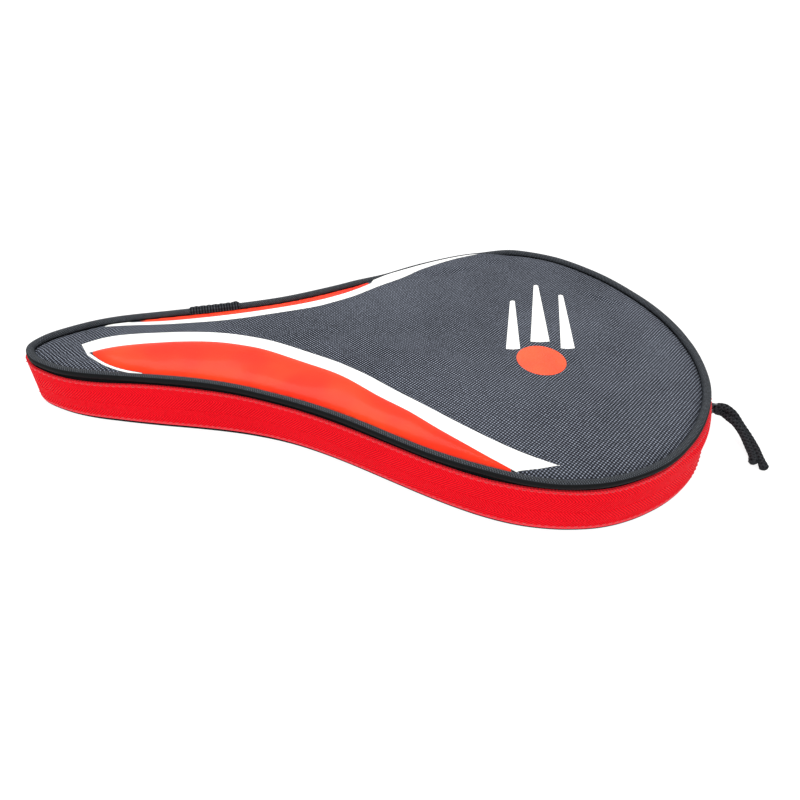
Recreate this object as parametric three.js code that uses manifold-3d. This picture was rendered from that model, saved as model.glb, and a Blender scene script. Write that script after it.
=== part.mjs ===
// Soft zip case for a table-tennis paddle: two padded halves joined by a fabric hinge
// at the head end, closed by a coil zip that runs round the rest of the contour.
// Units: millimetres. The case lies on its rear cover, +Z up, +X from handle to head.
import * as THREE from "three";
import { mergeVertices } from "three/addons/utils/BufferGeometryUtils.js";
import Module from "manifold-3d";

const wasm = await Module();
wasm.setup();

// ---------- driving dimensions ----------
const ORIGIN_X = 152.0; // middle of the case's length, measured from the handle tip of the outline
const HEAD_CX = 200, HEAD_R = 100; // arc of the head end
const PIPE_Z = 22.9, PIPE_R = 1.8; // front piping, centre height and radius
const ZIP_Z = 10; // height of the zip line
const HINGE_X = 305.7, HINGE_Z = 12.6; // fold line of the fabric hinge
const HINGE_HALF = 13.4; // half angle of the fabric hinge on the head arc, degrees
const TAPE_END = 13.9; // the zip tape ends at this angle each side
const COIL_END = 15.3; // the coil ends at this angle each side
const SLIDER_ANGLE = -18.5; // slider parked at its closed end
const REAR = { bind0: 0, bind1: 1.5, cover0: 0, cover1: 1.2, foam0: 1.5, foam1: 3.6, lining0: 3.9, lining1: 4.5 };
const TAPE = { out: -0.4, in: -1.4, low0: 1.8, low1: 9.3, up0: 10.7, up1: 20.8 };
const STRIP = { out: 0, in: -1.3, low1: 9.6, up0: 10.4 };
const COIL = { out: -1.7, in: -3.5, low0: 7.1, low1: 9.4, up0: 10.6, up1: 12.9 };
const BIND = { out: -1.7, in: -2.7, low0: 1.8, low1: 6.0, up0: 14.6, up1: 18.3 };
const FRONT = { lining0: 19.3, lining1: 19.9, foam0: 20.2, foam1: 22.3, cover0: 22.6, cover1: 23.8 };
const INLAY = { z0: 24.1, z1: 24.5 };

// Half outline of the case on the +Y side, from the shoulder to the handle tip.
const SIDE = [
  [248, 86.45], [237, 89.85], [225.5, 90.9], [214, 89.6], [202.5, 86.35], [191.4, 81.7],
  [180.6, 76.3], [170.2, 70.5], [160, 64.55], [149.9, 58.7], [139.7, 53.05], [129.4, 47.7],
  [119, 42.8], [108, 38.4], [97, 34.6], [85.5, 31.4], [73.85, 28.9], [62, 26.95],
  [50.15, 25.25], [38.4, 23.35], [27, 20.7], [17.5, 17.0], [10.5, 13.0], [5.3, 9.2],
  [1.6, 4.6], [0, 0],
];
const ARC = [0, 6.7, 13.4, 20, 26.5, 33, 40, 47, 54.2]; // degrees along the head arc

// The soft case is not quite symmetrical. These give how far outside the outline the gusset's
// face and the piping's centre line run on the +Y and -Y sides, at the ARC angles and then
// at the SIDE points.
const WALL_LOW = {
  plus: [5, 5, 5, 5, 4.9, 4.6, 4.1, 3.6, 3.3, 2.85, 2.5, 2.0, 1.9, 1.85, 1.7, 1.6, 1.6, 1.6, 1.6, 1.6, 1.55, 1.4, 1.4,
    1.85, 2.3, 2.4, 2.2, 1.75, 1.35, 1.2, 1.1, 1.3, 1.6, 2.0, 2.5],
  minus: [5, 5, 5, 5, 5, 5, 4.9, 3.8, 2.7, 2.1, 1.6, 1.3, 1.8, 2.6, 3.0, 2.9, 2.7, 2.3, 1.8, 1.2, 0.7, 0.3, 0.2,
    0.7, 1.3, 1.7, 1.8, 1.4, 0.9, 1.0, 1.5, 2.0, 2.3, 2.4, 2.5],
};
const WALL_UP = {
  plus: WALL_LOW.plus,
  minus: [5, 5, 5, 5, 5, 5, 4.2, 2.9, 1.6, 0.5, 0.5, 0.45, 1.0, 1.9, 2.9, 3.1, 3.0, 2.6, 2.1, 1.5, 1.0, 0.6, 0.4,
    0.2, 0.15, 0.1, 0.1, 0.15, 0.6, 1.2, 1.9, 2.2, 2.4, 2.5, 2.5],
};
const TOP = {
  plus: [0.2, 0, -0.2, -0.3, -0.3, 0.1, 0.6, 1.1, 1.5, 1.7, 1.5, 1.1, 0.8, 0.7, 0.8, 0.9, 0.9, 0.9, 0.8, 0.8,
    0.9, 1.0, 1.1, 1.5, 1.8, 1.6, 1.1, 0.6, 0.3, -0.1, -0.8, -1.0, -1.0, -0.8, -0.5],
  minus: [0.2, 0.6, 0.9, 1.1, 0.9, 0.5, 0.1, -0.4, -1.1, -1.55, -1.6, -1.3, -0.3, 0.3, 0.65, 1.3, 1.6, 1.1, 0.45,
    -0.4, -0.9, -1.25, -1.55, -1.95, -2.2, -2.35, -2.4, -2.35, -1.9, -1.15, -0.3, -0.15, 0, -0.3, -0.5],
};

// ---------- outline helpers ----------
const rad = (d) => (d * Math.PI) / 180;
const onArc = (deg, d) => [HEAD_CX + (HEAD_R + d) * Math.cos(rad(deg)), (HEAD_R + d) * Math.sin(rad(deg))];

function sidePoint(i, d) {
  const p = SIDE[i];
  const a = i === 0 ? onArc(ARC[ARC.length - 1], 0) : SIDE[i - 1];
  const b = i === SIDE.length - 1 ? [SIDE[i - 1][0], -SIDE[i - 1][1]] : SIDE[i + 1];
  const n1 = new THREE.Vector2(p[1] - a[1], a[0] - p[0]).normalize();
  const n2 = new THREE.Vector2(b[1] - p[1], p[0] - b[0]).normalize();
  const n = n1.clone().add(n2).normalize();
  const k = d / n.dot(n1);
  return [p[0] + n.x * k, p[1] + n.y * k];
}

function arcValue(values, deg) {
  let i = 0;
  while (i < ARC.length - 2 && ARC[i + 1] < deg) i++;
  const t = (deg - ARC[i]) / (ARC[i + 1] - ARC[i]);
  return values[i] * (1 - t) + values[i + 1] * t;
}

function halfOutline(values, d, start, sign) {
  const p = [onArc(start, arcValue(values, start) + d)];
  ARC.forEach((a, i) => { if (a > start + 0.01) p.push(onArc(a, values[i] + d)); });
  SIDE.forEach((_, i) => p.push(sidePoint(i, values[ARC.length + i] + d)));
  return p.map(([x, y]) => [x, sign * y]);
}

// Points at distance d outside a line, from angle `start` on the +Y side, round the handle,
// to -`start` on the -Y side. With start 0 it is the whole closed outline.
function outline(line, d, start = 0) {
  const plus = halfOutline(line.plus, d, start, 1), minus = halfOutline(line.minus, d, start, -1);
  minus.pop(); // the handle tip is shared
  if (start === 0) minus.shift();
  return plus.concat(minus.reverse());
}

// ---------- solid helpers ----------
function closed(geometry) {
  const g = geometry.clone();
  g.deleteAttribute("normal");
  g.deleteAttribute("uv");
  let m = mergeVertices(g.index ? g.toNonIndexed() : g, 1e-4);
  const p = m.getAttribute("position"), ix = m.index.array;
  let v = 0;
  const a = new THREE.Vector3(), b = new THREE.Vector3(), c = new THREE.Vector3();
  for (let i = 0; i < ix.length; i += 3) {
    a.fromBufferAttribute(p, ix[i]);
    b.fromBufferAttribute(p, ix[i + 1]);
    c.fromBufferAttribute(p, ix[i + 2]);
    v += a.dot(b.cross(c));
  }
  if (v < 0) for (let i = 0; i < ix.length; i += 3) [ix[i + 1], ix[i + 2]] = [ix[i + 2], ix[i + 1]];
  m.computeVertexNormals();
  return m;
}

function shapeOf(points, hole) {
  const s = new THREE.Shape(points.map(([x, y]) => new THREE.Vector2(x, y)));
  if (hole) s.holes.push(new THREE.Path(hole.map(([x, y]) => new THREE.Vector2(x, y))));
  return s;
}

function extrude(points, z0, z1, hole) {
  const g = new THREE.ExtrudeGeometry(shapeOf(points, hole), { depth: z1 - z0, bevelEnabled: false, steps: 1, curveSegments: 4 });
  g.translate(0, 0, z0);
  return closed(g);
}

const panel = (line, d, z0, z1) => extrude(outline(line, d), z0, z1);
const ring = (line, dOut, dIn, z0, z1) => extrude(outline(line, dOut), z0, z1, outline(line, dIn));
const openRing = (line, dOut, dIn, z0, z1, start) =>
  extrude(outline(line, dOut, start).concat(outline(line, dIn, start).reverse()), z0, z1);

// Band of the head arc between two angles.
function arcBand(dOut, dIn, a0, a1, z0, z1, steps = 4) {
  const o = [], i = [];
  for (let k = 0; k <= steps; k++) {
    const a = a0 + ((a1 - a0) * k) / steps;
    o.push(onArc(a, dOut));
    i.push(onArc(a, dIn));
  }
  return extrude(o.concat(i.reverse()), z0, z1);
}

// Sweeps a section [[across, up], ...] along 3-D points; `across` is the horizontal normal to the path.
function sweep(points, section, isClosed) {
  const n = points.length, m = section.length, pos = [], idx = [];
  for (let i = 0; i < n; i++) {
    const prev = points[isClosed ? (i + n - 1) % n : Math.max(0, i - 1)];
    const next = points[isClosed ? (i + 1) % n : Math.min(n - 1, i + 1)];
    const t = new THREE.Vector3(...next).sub(new THREE.Vector3(...prev)).normalize();
    const across = new THREE.Vector3(t.y, -t.x, 0).normalize();
    const up = new THREE.Vector3().crossVectors(across, t).normalize();
    for (const [u, v] of section)
      pos.push(points[i][0] + across.x * u + up.x * v, points[i][1] + across.y * u + up.y * v, points[i][2] + across.z * u + up.z * v);
  }
  const rows = isClosed ? n : n - 1;
  for (let i = 0; i < rows; i++)
    for (let j = 0; j < m; j++) {
      const a = i * m + j, b = i * m + ((j + 1) % m), c = ((i + 1) % n) * m + j, d = ((i + 1) % n) * m + ((j + 1) % m);
      idx.push(a, c, b, b, c, d);
    }
  if (!isClosed) {
    const faces = THREE.ShapeUtils.triangulateShape(section.map(([u, v]) => new THREE.Vector2(u, v)), []);
    const last = (n - 1) * m;
    for (const [a, b, c] of faces) idx.push(a, b, c, last + a, last + c, last + b);
  }
  const g = new THREE.BufferGeometry();
  g.setAttribute("position", new THREE.Float32BufferAttribute(pos, 3));
  g.setIndex(idx);
  return closed(g);
}

const circle = (r, sides, rx = r) =>
  Array.from({ length: sides }, (_, k) => [rx * Math.cos((2 * Math.PI * (k + 0.5)) / sides), r * Math.sin((2 * Math.PI * (k + 0.5)) / sides)]);

function solid(geometry) {
  const g = closed(geometry);
  g.deleteAttribute("normal");
  return new wasm.Manifold(new wasm.Mesh({ numProp: 3, vertProperties: new Float32Array(g.getAttribute("position").array), triVerts: new Uint32Array(g.index.array) }));
}

function fromSolid(s) {
  const m = s.getMesh();
  const g = new THREE.BufferGeometry();
  const v = new Float32Array(m.numVert * 3);
  for (let i = 0; i < m.numVert; i++) for (let k = 0; k < 3; k++) v[3 * i + k] = m.vertProperties[i * m.numProp + k];
  g.setAttribute("position", new THREE.BufferAttribute(v, 3));
  g.setIndex(new THREE.BufferAttribute(new Uint32Array(m.triVerts), 1));
  g.computeVertexNormals();
  return g;
}

// ---------- materials ----------
const mat = (color, roughness, metalness = 0) => new THREE.MeshStandardMaterial({ color, roughness, metalness });
const M = {
  canvas: mat(0x2f3440, 0.9),
  lining: mat(0x191a1d, 0.85),
  foam: mat(0x6d6f74, 0.95),
  piping: mat(0x1b1d20, 0.6),
  red: mat(0xd8142c, 0.75),
  coil: mat(0xc01a2c, 0.45),
  webbing: mat(0x141518, 0.8),
  orange: mat(0xff4a17, 0.25),
  white: mat(0xf3f3ef, 0.45),
  metal: mat(0x2a2b2e, 0.35, 0.9),
  cord: mat(0x0e0e10, 0.85),
};

const part = new THREE.Group();
const frame = new THREE.Group(); // holds the outline's own frame, shifted to the part's origin
frame.position.set(-ORIGIN_X, 0, 0);
part.add(frame);
function add(name, geometry, material, parent = frame) {
  const mesh = new THREE.Mesh(geometry, material);
  mesh.name = name;
  parent.add(mesh);
  return mesh;
}

// ---------- rear half ----------
const WALL_AT_END = 5; // the gusset's offset along the slider's travel and the hinge
add("rear_cover", panel(WALL_LOW, -2.0, REAR.cover0, REAR.cover1), M.canvas);
add("rear_edge_binding", ring(WALL_LOW, 0, -1.7, REAR.bind0, REAR.bind1), M.webbing);
add("rear_foam", panel(WALL_LOW, -3.1, REAR.foam0, REAR.foam1), M.foam);
add("rear_lining", panel(WALL_LOW, -3.1, REAR.lining0, REAR.lining1), M.lining);
add("seam_binding_lower", ring(WALL_LOW, BIND.out, BIND.in, BIND.low0, BIND.low1), M.webbing);
add("zip_tape_lower", openRing(WALL_LOW, TAPE.out, TAPE.in, TAPE.low0, TAPE.low1, TAPE_END), M.red);
add("zip_coil_lower", openRing(WALL_LOW, COIL.out, COIL.in, COIL.low0, COIL.low1, COIL_END), M.coil);
add("hinge_strip_lower", arcBand(WALL_AT_END + STRIP.out, WALL_AT_END + STRIP.in, -HINGE_HALF, HINGE_HALF, TAPE.low0, STRIP.low1), M.webbing);
add("zip_top_stop", arcBand(WALL_AT_END + COIL.out, WALL_AT_END + COIL.in, -15.0, -14.1, COIL.low0, COIL.low1, 1), M.metal);
add("zip_bottom_stop", arcBand(WALL_AT_END + COIL.out, WALL_AT_END + COIL.in, 14.1, 15.0, COIL.low0, COIL.low1, 1), M.metal);

// ---------- front half (lid) ----------
add("front_cover", panel(TOP, -2.1, FRONT.cover0, FRONT.cover1), M.canvas);
add("front_foam", panel(TOP, -2.7, FRONT.foam0, FRONT.foam1), M.foam);
add("front_lining", panel(TOP, -2.7, FRONT.lining0, FRONT.lining1), M.lining);
add("seam_binding_upper", ring(WALL_UP, BIND.out, BIND.in, BIND.up0, BIND.up1), M.webbing);
add("zip_tape_upper", openRing(WALL_UP, TAPE.out, TAPE.in, TAPE.up0, TAPE.up1, TAPE_END), M.red);
add("zip_coil_upper", openRing(WALL_UP, COIL.out, COIL.in, COIL.up0, COIL.up1, COIL_END), M.coil);
add("hinge_strip_upper", arcBand(WALL_AT_END + STRIP.out, WALL_AT_END + STRIP.in, -HINGE_HALF, HINGE_HALF, STRIP.up0, TAPE.up1), M.webbing);
add("front_piping", sweep(outline(TOP, 0).map(([x, y]) => [x, y, PIPE_Z]), circle(PIPE_R, 10), true), M.piping);

// Sleeve that covers the butt joint of the piping, on the far side of the handle.
{
  const at = (i) => sidePoint(i, TOP.plus[ARC.length + i]);
  const between = (i, j, t) => at(i).map((v, k) => v * (1 - t) + at(j)[k] * t);
  const pts = [between(17, 16, 0.17), at(16), at(15), between(15, 14, 0.17)].map(([x, y]) => [x, y, PIPE_Z]);
  const sec = [];
  const r0 = PIPE_R + 0.3, r1 = PIPE_R + 1.0, k = 8;
  const turn = (j) => rad(50 + (140 * j) / k); // from just above the cover, over the top, to the outer side
  for (let j = 0; j <= k; j++) sec.push([r1 * Math.cos(turn(j)), r1 * Math.sin(turn(j))]);
  for (let j = k; j >= 0; j--) sec.push([r0 * Math.cos(turn(j)), r0 * Math.sin(turn(j))]);
  add("piping_join", sweep(pts, sec, false), M.webbing);
}

// ---------- front decoration: glossy inlays and white stripes ----------
const NEAR_OUTER = [
  [22.2, 0.2], [29.5, 4.6], [40.3, 7.4], [52, 8.6], [64, 8.8], [75, 8.3], [86, 6.8], [97.8, 3.6], [109.9, -1.2],
  [121.4, -7.2], [133.1, -14.4], [143.9, -22.4], [154.7, -31.0], [164.3, -39.3], [174.5, -48.4], [183.9, -56.8],
  [193.3, -64.6], [202.4, -71.5], [211, -77.2], [217.4, -81.0],
];
const NEAR_INNER = [
  [26.9, -6.4], [32.2, -3.9], [42.4, -0.9], [52.9, 0.5], [67, 1.0], [81.2, 0.1], [92.6, -2.3], [104.5, -6.2],
  [116, -11.9], [127.5, -18.6], [138.4, -26.6], [149.2, -35.9], [163.7, -48.3], [173.4, -57.8], [182.5, -66.4],
  [191.5, -74.8], [201.1, -82.8],
];
const NEAR_BORDER = [[27.2, -7.9], [35.1, -14.2], [44.7, -18.7], [53, -20.6]]; // lower left edge of the white border
const NEAR_BORDER_IN = [[29.6, -7.0], [36.2, -12.6], [45.2, -17.1], [53, -19.3]];
// Edge of the panel beside the piping, from the head towards the handle.
const INLAY_EDGE = -2.4;
const edgeBetween = (values, sign, x0, x1) =>
  SIDE.map((_, i) => sidePoint(i, values[ARC.length + i] + INLAY_EDGE)).filter(([x]) => x > x0 && x < x1).map(([x, y]) => [x, sign * y]);
const nearEdge = edgeBetween(TOP.minus, -1, 55, 199);
add("stripe_near", extrude(
  [...NEAR_OUTER, [208, -84], ...[...NEAR_INNER].reverse(), ...NEAR_BORDER_IN, ...[...NEAR_BORDER].reverse()],
  INLAY.z0, INLAY.z1), M.white);
add("inlay_near", extrude(
  [[30.6, -5.3], ...NEAR_INNER.slice(1, -1).map(([x, y]) => [x, y - 0.45]), [199, -81.7], ...nearEdge, [53.4, -20.4], [53.4, -18.9],
    [45.6, -16.6], [36.9, -12.2], [31.4, -7.6]],
  INLAY.z0, INLAY.z1), M.orange);

const FAR_OUTER = [
  [27.4, 15.9], [44.5, 16.1], [62.3, 16.9], [80.1, 19.2], [95.5, 22.6], [104, 24.8], [119.5, 30.0], [132, 36.0],
  [143.5, 42.6], [156.9, 52.2], [167.9, 59.7], [179.5, 69.2], [191.5, 77.5], [201.5, 83.2],
];
const FAR_INNER = [
  [39, 19.3], [55.6, 19.8], [67.3, 21.6], [79.1, 24.0], [91.1, 26.8], [103.4, 30.1], [116, 34.2], [128.8, 39.8],
  [142, 47.4], [152.4, 55.6],
];
const farEdge = (x0, x1) => edgeBetween(TOP.plus, 1, x0, x1);
add("stripe_far", extrude(
  [...FAR_OUTER, ...farEdge(153, 200), ...[...FAR_INNER].reverse(), ...farEdge(27.5, 37.5)],
  INLAY.z0, INLAY.z1), M.white);
add("inlay_far", extrude(
  [...FAR_INNER.slice(1, -1).map(([x, y]) => [x, y + 0.4]), [151.2, 55.6], ...farEdge(44, 151), [42.4, 20.6], [45, 20.0]],
  INLAY.z0, INLAY.z1), M.orange);

// Plain printed motif: a ball with three tapered streaks.
const lean = (x, y) => [x + 0.2 * (y + 17), y];
const streak = (x0, x1, y0, y1) => extrude([lean(x0, y0), lean(x1, y0), lean((x0 + x1) / 2 + 1.2, y1), lean((x0 + x1) / 2 - 1.2, y1)], INLAY.z0, INLAY.z1);
add("print_streak_a", streak(210, 216.5, -8, 34), M.white);
add("print_streak_b", streak(221.5, 230.5, -2.5, 50), M.white);
add("print_streak_c", streak(235.5, 242, -8, 40), M.white);
{
  const g = new THREE.CylinderGeometry(11, 11, INLAY.z1 - INLAY.z0, 28);
  g.rotateX(Math.PI / 2);
  g.translate(226, -17, (INLAY.z0 + INLAY.z1) / 2);
  add("print_ball", closed(g), M.orange);
}

// ---------- zip slider, with its crown, astride the zip line ----------
{
  const A = SLIDER_ANGLE, half = 3.25;
  let s = solid(arcBand(5.85, 5.0, A - half, A + half, ZIP_Z - 3.3, ZIP_Z + 3.3, 4)); // outer plate
  s = s.add(solid(arcBand(0.9, 0.1, A - half, A + half, ZIP_Z - 3.3, ZIP_Z + 3.3, 4))); // inner plate
  s = s.add(solid(arcBand(5.4, 0.5, A - 1.3, A + 1.3, ZIP_Z - 0.35, ZIP_Z + 0.35, 1))); // neck through the zip line
  // crown: two legs and a bar
  s = s.add(solid(arcBand(8.1, 5.45, A - 2.05, A - 1.55, ZIP_Z - 0.9, ZIP_Z + 0.9, 1)));
  s = s.add(solid(arcBand(8.1, 5.45, A + 1.55, A + 2.05, ZIP_Z - 0.9, ZIP_Z + 0.9, 1)));
  s = s.add(solid(arcBand(8.5, 7.6, A - 2.2, A + 2.2, ZIP_Z - 1.05, ZIP_Z + 1.05, 2)));
  add("zip_slider", fromSolid(s), M.metal);
}

// ---------- puller: a wire frame whose cross bar sits under the crown ----------
const PULL_PIVOT = 6.73; // distance of the pivot outside the head arc
const PULL_LENGTH = 5.2;
{
  const dir = rad(SLIDER_ANGLE), c = Math.cos(dir), s = Math.sin(dir);
  const base = onArc(SLIDER_ANGLE, PULL_PIVOT);
  const half = 2.15, r = 0.8; // half width between the arms' centres, corner radius
  const corners = [];
  const addCorner = (cx, cz, a0, a1) => { for (let k = 0; k <= 3; k++) { const a = rad(a0 + ((a1 - a0) * k) / 3); corners.push([cx + r * Math.cos(a), cz + r * Math.sin(a)]); } };
  addCorner(PULL_LENGTH - r, half - r, 0, 90);
  addCorner(r, half - r, 90, 180);
  addCorner(r, -half + r, 180, 270);
  addCorner(PULL_LENGTH - r, -half + r, 270, 360);
  // swept in the plane of the radial direction and Z
  const n = corners.length, sec = circle(0.5, 8), m = sec.length, pos = [], idx = [];
  for (let i = 0; i < n; i++) {
    const p = corners[(i + n - 1) % n], q = corners[(i + 1) % n];
    const tx = q[0] - p[0], tz = q[1] - p[1], l = Math.hypot(tx, tz), nx = tz / l, nz = -tx / l;
    for (const [u, v] of sec) {
      const x = corners[i][0] + nx * u, z = corners[i][1] + nz * u;
      pos.push(base[0] + c * x - s * v, base[1] + s * x + c * v, ZIP_Z + z);
    }
  }
  for (let i = 0; i < n; i++)
    for (let j = 0; j < m; j++) {
      const a = i * m + j, b = i * m + ((j + 1) % m), e = ((i + 1) % n) * m + j, f = ((i + 1) % n) * m + ((j + 1) % m);
      idx.push(a, e, b, b, e, f);
    }
  const g = new THREE.BufferGeometry();
  g.setAttribute("position", new THREE.Float32BufferAttribute(pos, 3));
  g.setIndex(idx);
  add("zip_puller", closed(g), M.metal);
}

// ---------- pull cord: a doubled braided cord from the puller down to the surface ----------
const CORD_W = 5.2, CORD_T = 2.8; // two strands side by side
const CORD_PATH = [
  [307.1, -35.9, 9.9], [308.6, -37.6, 9.4], [310.2, -39.9, 8.6], [311.6, -42.2, 7.4], [312.9, -44.8, 6.0],
  [313.7, -47.6, 4.7], [313.8, -51.0, 3.5], [313.4, -54.5, 2.7], [312.6, -58.0, 2.2], [311.5, -61.4, 2.0], [310.3, -64.4, 2.0],
];
add("pull_cord", sweep(CORD_PATH, circle(CORD_T / 2, 10, CORD_W / 2), false), M.cord);

export default part;
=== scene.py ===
"""Soft zip case for a table-tennis paddle: the looks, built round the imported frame.
Lengths in the code are millimetres in the outline's own frame (handle tip at x 0); mm() turns them into the row frame."""

import math

import bmesh
import bpy
import numpy as np
from mathutils import Matrix, Vector, noise
from mathutils.bvhtree import BVHTree
from mathutils.geometry import delaunay_2d_cdt


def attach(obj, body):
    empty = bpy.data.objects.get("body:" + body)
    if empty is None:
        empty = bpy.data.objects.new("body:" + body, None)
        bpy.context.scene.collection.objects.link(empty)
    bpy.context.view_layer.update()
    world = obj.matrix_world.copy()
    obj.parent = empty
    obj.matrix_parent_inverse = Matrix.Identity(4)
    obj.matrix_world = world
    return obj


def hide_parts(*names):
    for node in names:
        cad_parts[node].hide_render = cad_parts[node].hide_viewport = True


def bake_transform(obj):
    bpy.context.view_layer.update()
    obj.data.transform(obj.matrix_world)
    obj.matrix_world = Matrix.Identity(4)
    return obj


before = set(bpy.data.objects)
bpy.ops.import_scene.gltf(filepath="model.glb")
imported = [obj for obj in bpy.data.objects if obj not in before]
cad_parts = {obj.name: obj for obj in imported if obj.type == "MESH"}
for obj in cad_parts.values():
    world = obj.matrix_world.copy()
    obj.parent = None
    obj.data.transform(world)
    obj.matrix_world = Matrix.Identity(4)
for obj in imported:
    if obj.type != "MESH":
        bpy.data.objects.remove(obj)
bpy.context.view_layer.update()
scene = bpy.context.scene
scene.view_settings.view_transform = "Standard"

ORIGIN_X = 152.0
PIPE_Z, PIPE_R = 22.9, 1.8
ZIP_Z = 10.0
SLIDER_ANGLE = -18.5
RAD = math.pi / 180


def mm(v):
    return (np.asarray(v, float) - [ORIGIN_X, 0, 0]) * 0.001


# ------------------------------------------------------------------ camera
cam_data = bpy.data.cameras.new("camera")
cam = bpy.data.objects.new("camera", cam_data)
scene.collection.objects.link(cam)
right = Vector((0.99728311, -0.06575136, 0.03321395))
up = Vector((0.01639152, 0.63765449, 0.77014808))
forward = Vector((0.07181731, 0.76751124, -0.63699982))
m = Matrix((right, up, -forward)).transposed().to_4x4()
m.translation = Vector((-0.009052, -0.237267, 0.186000))
cam.matrix_world = m
cam_data.sensor_width = 36
cam_data.lens = 28.0414
cam_data.clip_start = 0.01
scene.camera = cam

# ------------------------------------------------------------------ outline
SIDE = [
    [248, 86.45], [237, 89.85], [225.5, 90.9], [214, 89.6], [202.5, 86.35], [191.4, 81.7], [180.6, 76.3],
    [170.2, 70.5], [160, 64.55], [149.9, 58.7], [139.7, 53.05], [129.4, 47.7], [119, 42.8], [108, 38.4],
    [97, 34.6], [85.5, 31.4], [73.85, 28.9], [62, 26.95], [50.15, 25.25], [38.4, 23.35], [27, 20.7],
    [17.5, 17.0], [10.5, 13.0], [5.3, 9.2], [1.6, 4.6], [0, 0],
]
ARC = [0, 6.7, 13.4, 20, 26.5, 33, 40, 47, 54.2]


def spline(points, closed):
    """Cubic spline through the points, as (length, f) where f(t) gives points for arc parameters."""
    p = np.asarray(points, float)
    if closed:
        p = np.vstack([p, p[:1]])
    n = len(p)
    t = np.r_[0, np.cumsum(np.linalg.norm(np.diff(p, axis=0), axis=1))]
    h = np.diff(t)
    a, b = np.zeros((n, n)), np.zeros((n, p.shape[1]))
    for i in range(1, n - 1):
        a[i, i - 1], a[i, i], a[i, i + 1] = h[i - 1], 2 * (h[i - 1] + h[i]), h[i]
        b[i] = 6 * ((p[i + 1] - p[i]) / h[i] - (p[i] - p[i - 1]) / h[i - 1])
    if closed:
        a[0, 0], a[0, -1] = 1, -1
        a[-1, 0], a[-1, 1], a[-1, -2], a[-1, -1] = 2 * h[0], h[0], h[-1], 2 * h[-1]
        b[-1] = 6 * ((p[1] - p[0]) / h[0] - (p[-1] - p[-2]) / h[-1])
    else:
        a[0, 0] = a[-1, -1] = 1
    k = np.linalg.solve(a, b)

    def f(x):
        x = np.asarray(x, float)
        i = np.clip(np.searchsorted(t, x, side="right") - 1, 0, n - 2)
        d, e, w = (x - t[i])[:, None], (t[i + 1] - x)[:, None], h[i][:, None]
        return (k[i] * e**3 + k[i + 1] * d**3) / (6 * w) + (p[i] / w - k[i] * w / 6) * e + (p[i + 1] / w - k[i + 1] * w / 6) * d

    return t[-1], f


_plus = [[200 + 100 * math.cos(a * RAD), 100 * math.sin(a * RAD)] for a in ARC] + SIDE
_ctrl = np.array(_plus + [[x, -y] for x, y in _plus[1:-1][::-1]])
_len, _f = spline(_ctrl, True)
_fine = _f(np.linspace(0, _len, 8001))
_cum = np.r_[0, np.cumsum(np.linalg.norm(np.diff(_fine, axis=0), axis=1))]
LENGTH = _cum[-1]


def contour(s):
    """Point and outward normal of the outline at arc length s (mm) from the head end, +Y side first."""
    s = np.mod(np.asarray(s, float), LENGTH)
    p = np.stack([np.interp(s, _cum, _fine[:, k]) for k in (0, 1)], 1)
    e = 0.4
    q = [np.stack([np.interp(np.mod(s + w, LENGTH), _cum, _fine[:, k]) for k in (0, 1)], 1) for w in (-e, e)]
    t = q[1] - q[0]
    t /= np.linalg.norm(t, axis=1)[:, None]
    return p, np.stack([t[:, 1], -t[:, 0]], 1)


def arc_s(deg):
    return 100 * deg * RAD


# The soft case is not quite symmetrical: how far outside the outline its lines run on the +Y
# and -Y sides, at the ARC angles and then at the SIDE points.
WALL_LOW = (
    [5, 5, 5, 5, 4.9, 4.6, 4.1, 3.6, 3.3, 2.85, 2.5, 2.0, 1.9, 1.85, 1.7, 1.6, 1.6, 1.6, 1.6, 1.6, 1.55, 1.4, 1.4,
     1.85, 2.3, 2.4, 2.2, 1.75, 1.35, 1.2, 1.1, 1.3, 1.6, 2.0, 2.5],
    [5, 5, 5, 5, 5, 5, 4.9, 3.8, 2.7, 2.1, 1.6, 1.3, 1.8, 2.6, 3.0, 2.9, 2.7, 2.3, 1.8, 1.2, 0.7, 0.3, 0.2,
     0.7, 1.3, 1.7, 1.8, 1.4, 0.9, 1.0, 1.5, 2.0, 2.3, 2.4, 2.5])
WALL_TOP = (
    [3.4, 3.0, 2.4, 2.0, 1.8, 1.9, 2.35, 2.85, 3.25, 3.45, 3.25, 2.85, 2.55, 2.45, 2.55, 2.65, 2.65, 2.65, 2.55, 2.55,
     2.65, 2.75, 2.85, 3.25, 3.55, 3.35, 2.85, 2.35, 2.05, 1.65, 0.95, 0.9, 1.2, 2.0, 2.8],
    [3.4, 3.4, 3.4, 3.3, 3.0, 2.5, 1.5, 0.8, 0.4, 0.05, 0.05, 0.14, 0.6, 1.6, 2.85, 3.1, 3.1, 2.7, 2.2, 1.6, 1.1, 0.75, 0.4,
     -0.1, -0.3, -0.45, -0.8, -0.7, 0.5, 1.2, 1.7, 2.0, 1.9, 2.3, 2.8])
TOP = (
    [0.2, 0, -0.2, -0.3, -0.3, 0.1, 0.6, 1.1, 1.5, 1.7, 1.5, 1.1, 0.8, 0.7, 0.8, 0.9, 0.9, 0.9, 0.8, 0.8,
     0.9, 1.0, 1.1, 1.5, 1.8, 1.6, 1.1, 0.6, 0.3, -0.1, -0.8, -1.0, -1.0, -0.8, -0.5],
    [0.2, 0.6, 0.9, 1.1, 0.9, 0.5, 0.1, -0.4, -1.1, -1.55, -1.6, -1.3, -0.3, 0.3, 0.65, 1.3, 1.6, 1.1, 0.45,
     -0.4, -0.9, -1.25, -1.55, -1.95, -2.2, -2.35, -2.4, -2.35, -1.9, -1.15, -0.3, -0.15, 0, -0.3, -0.5])
_station = np.array([_cum[np.argmin(((_fine - q) ** 2).sum(1))] if i else 0.0 for i, q in enumerate(_ctrl)])


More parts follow.
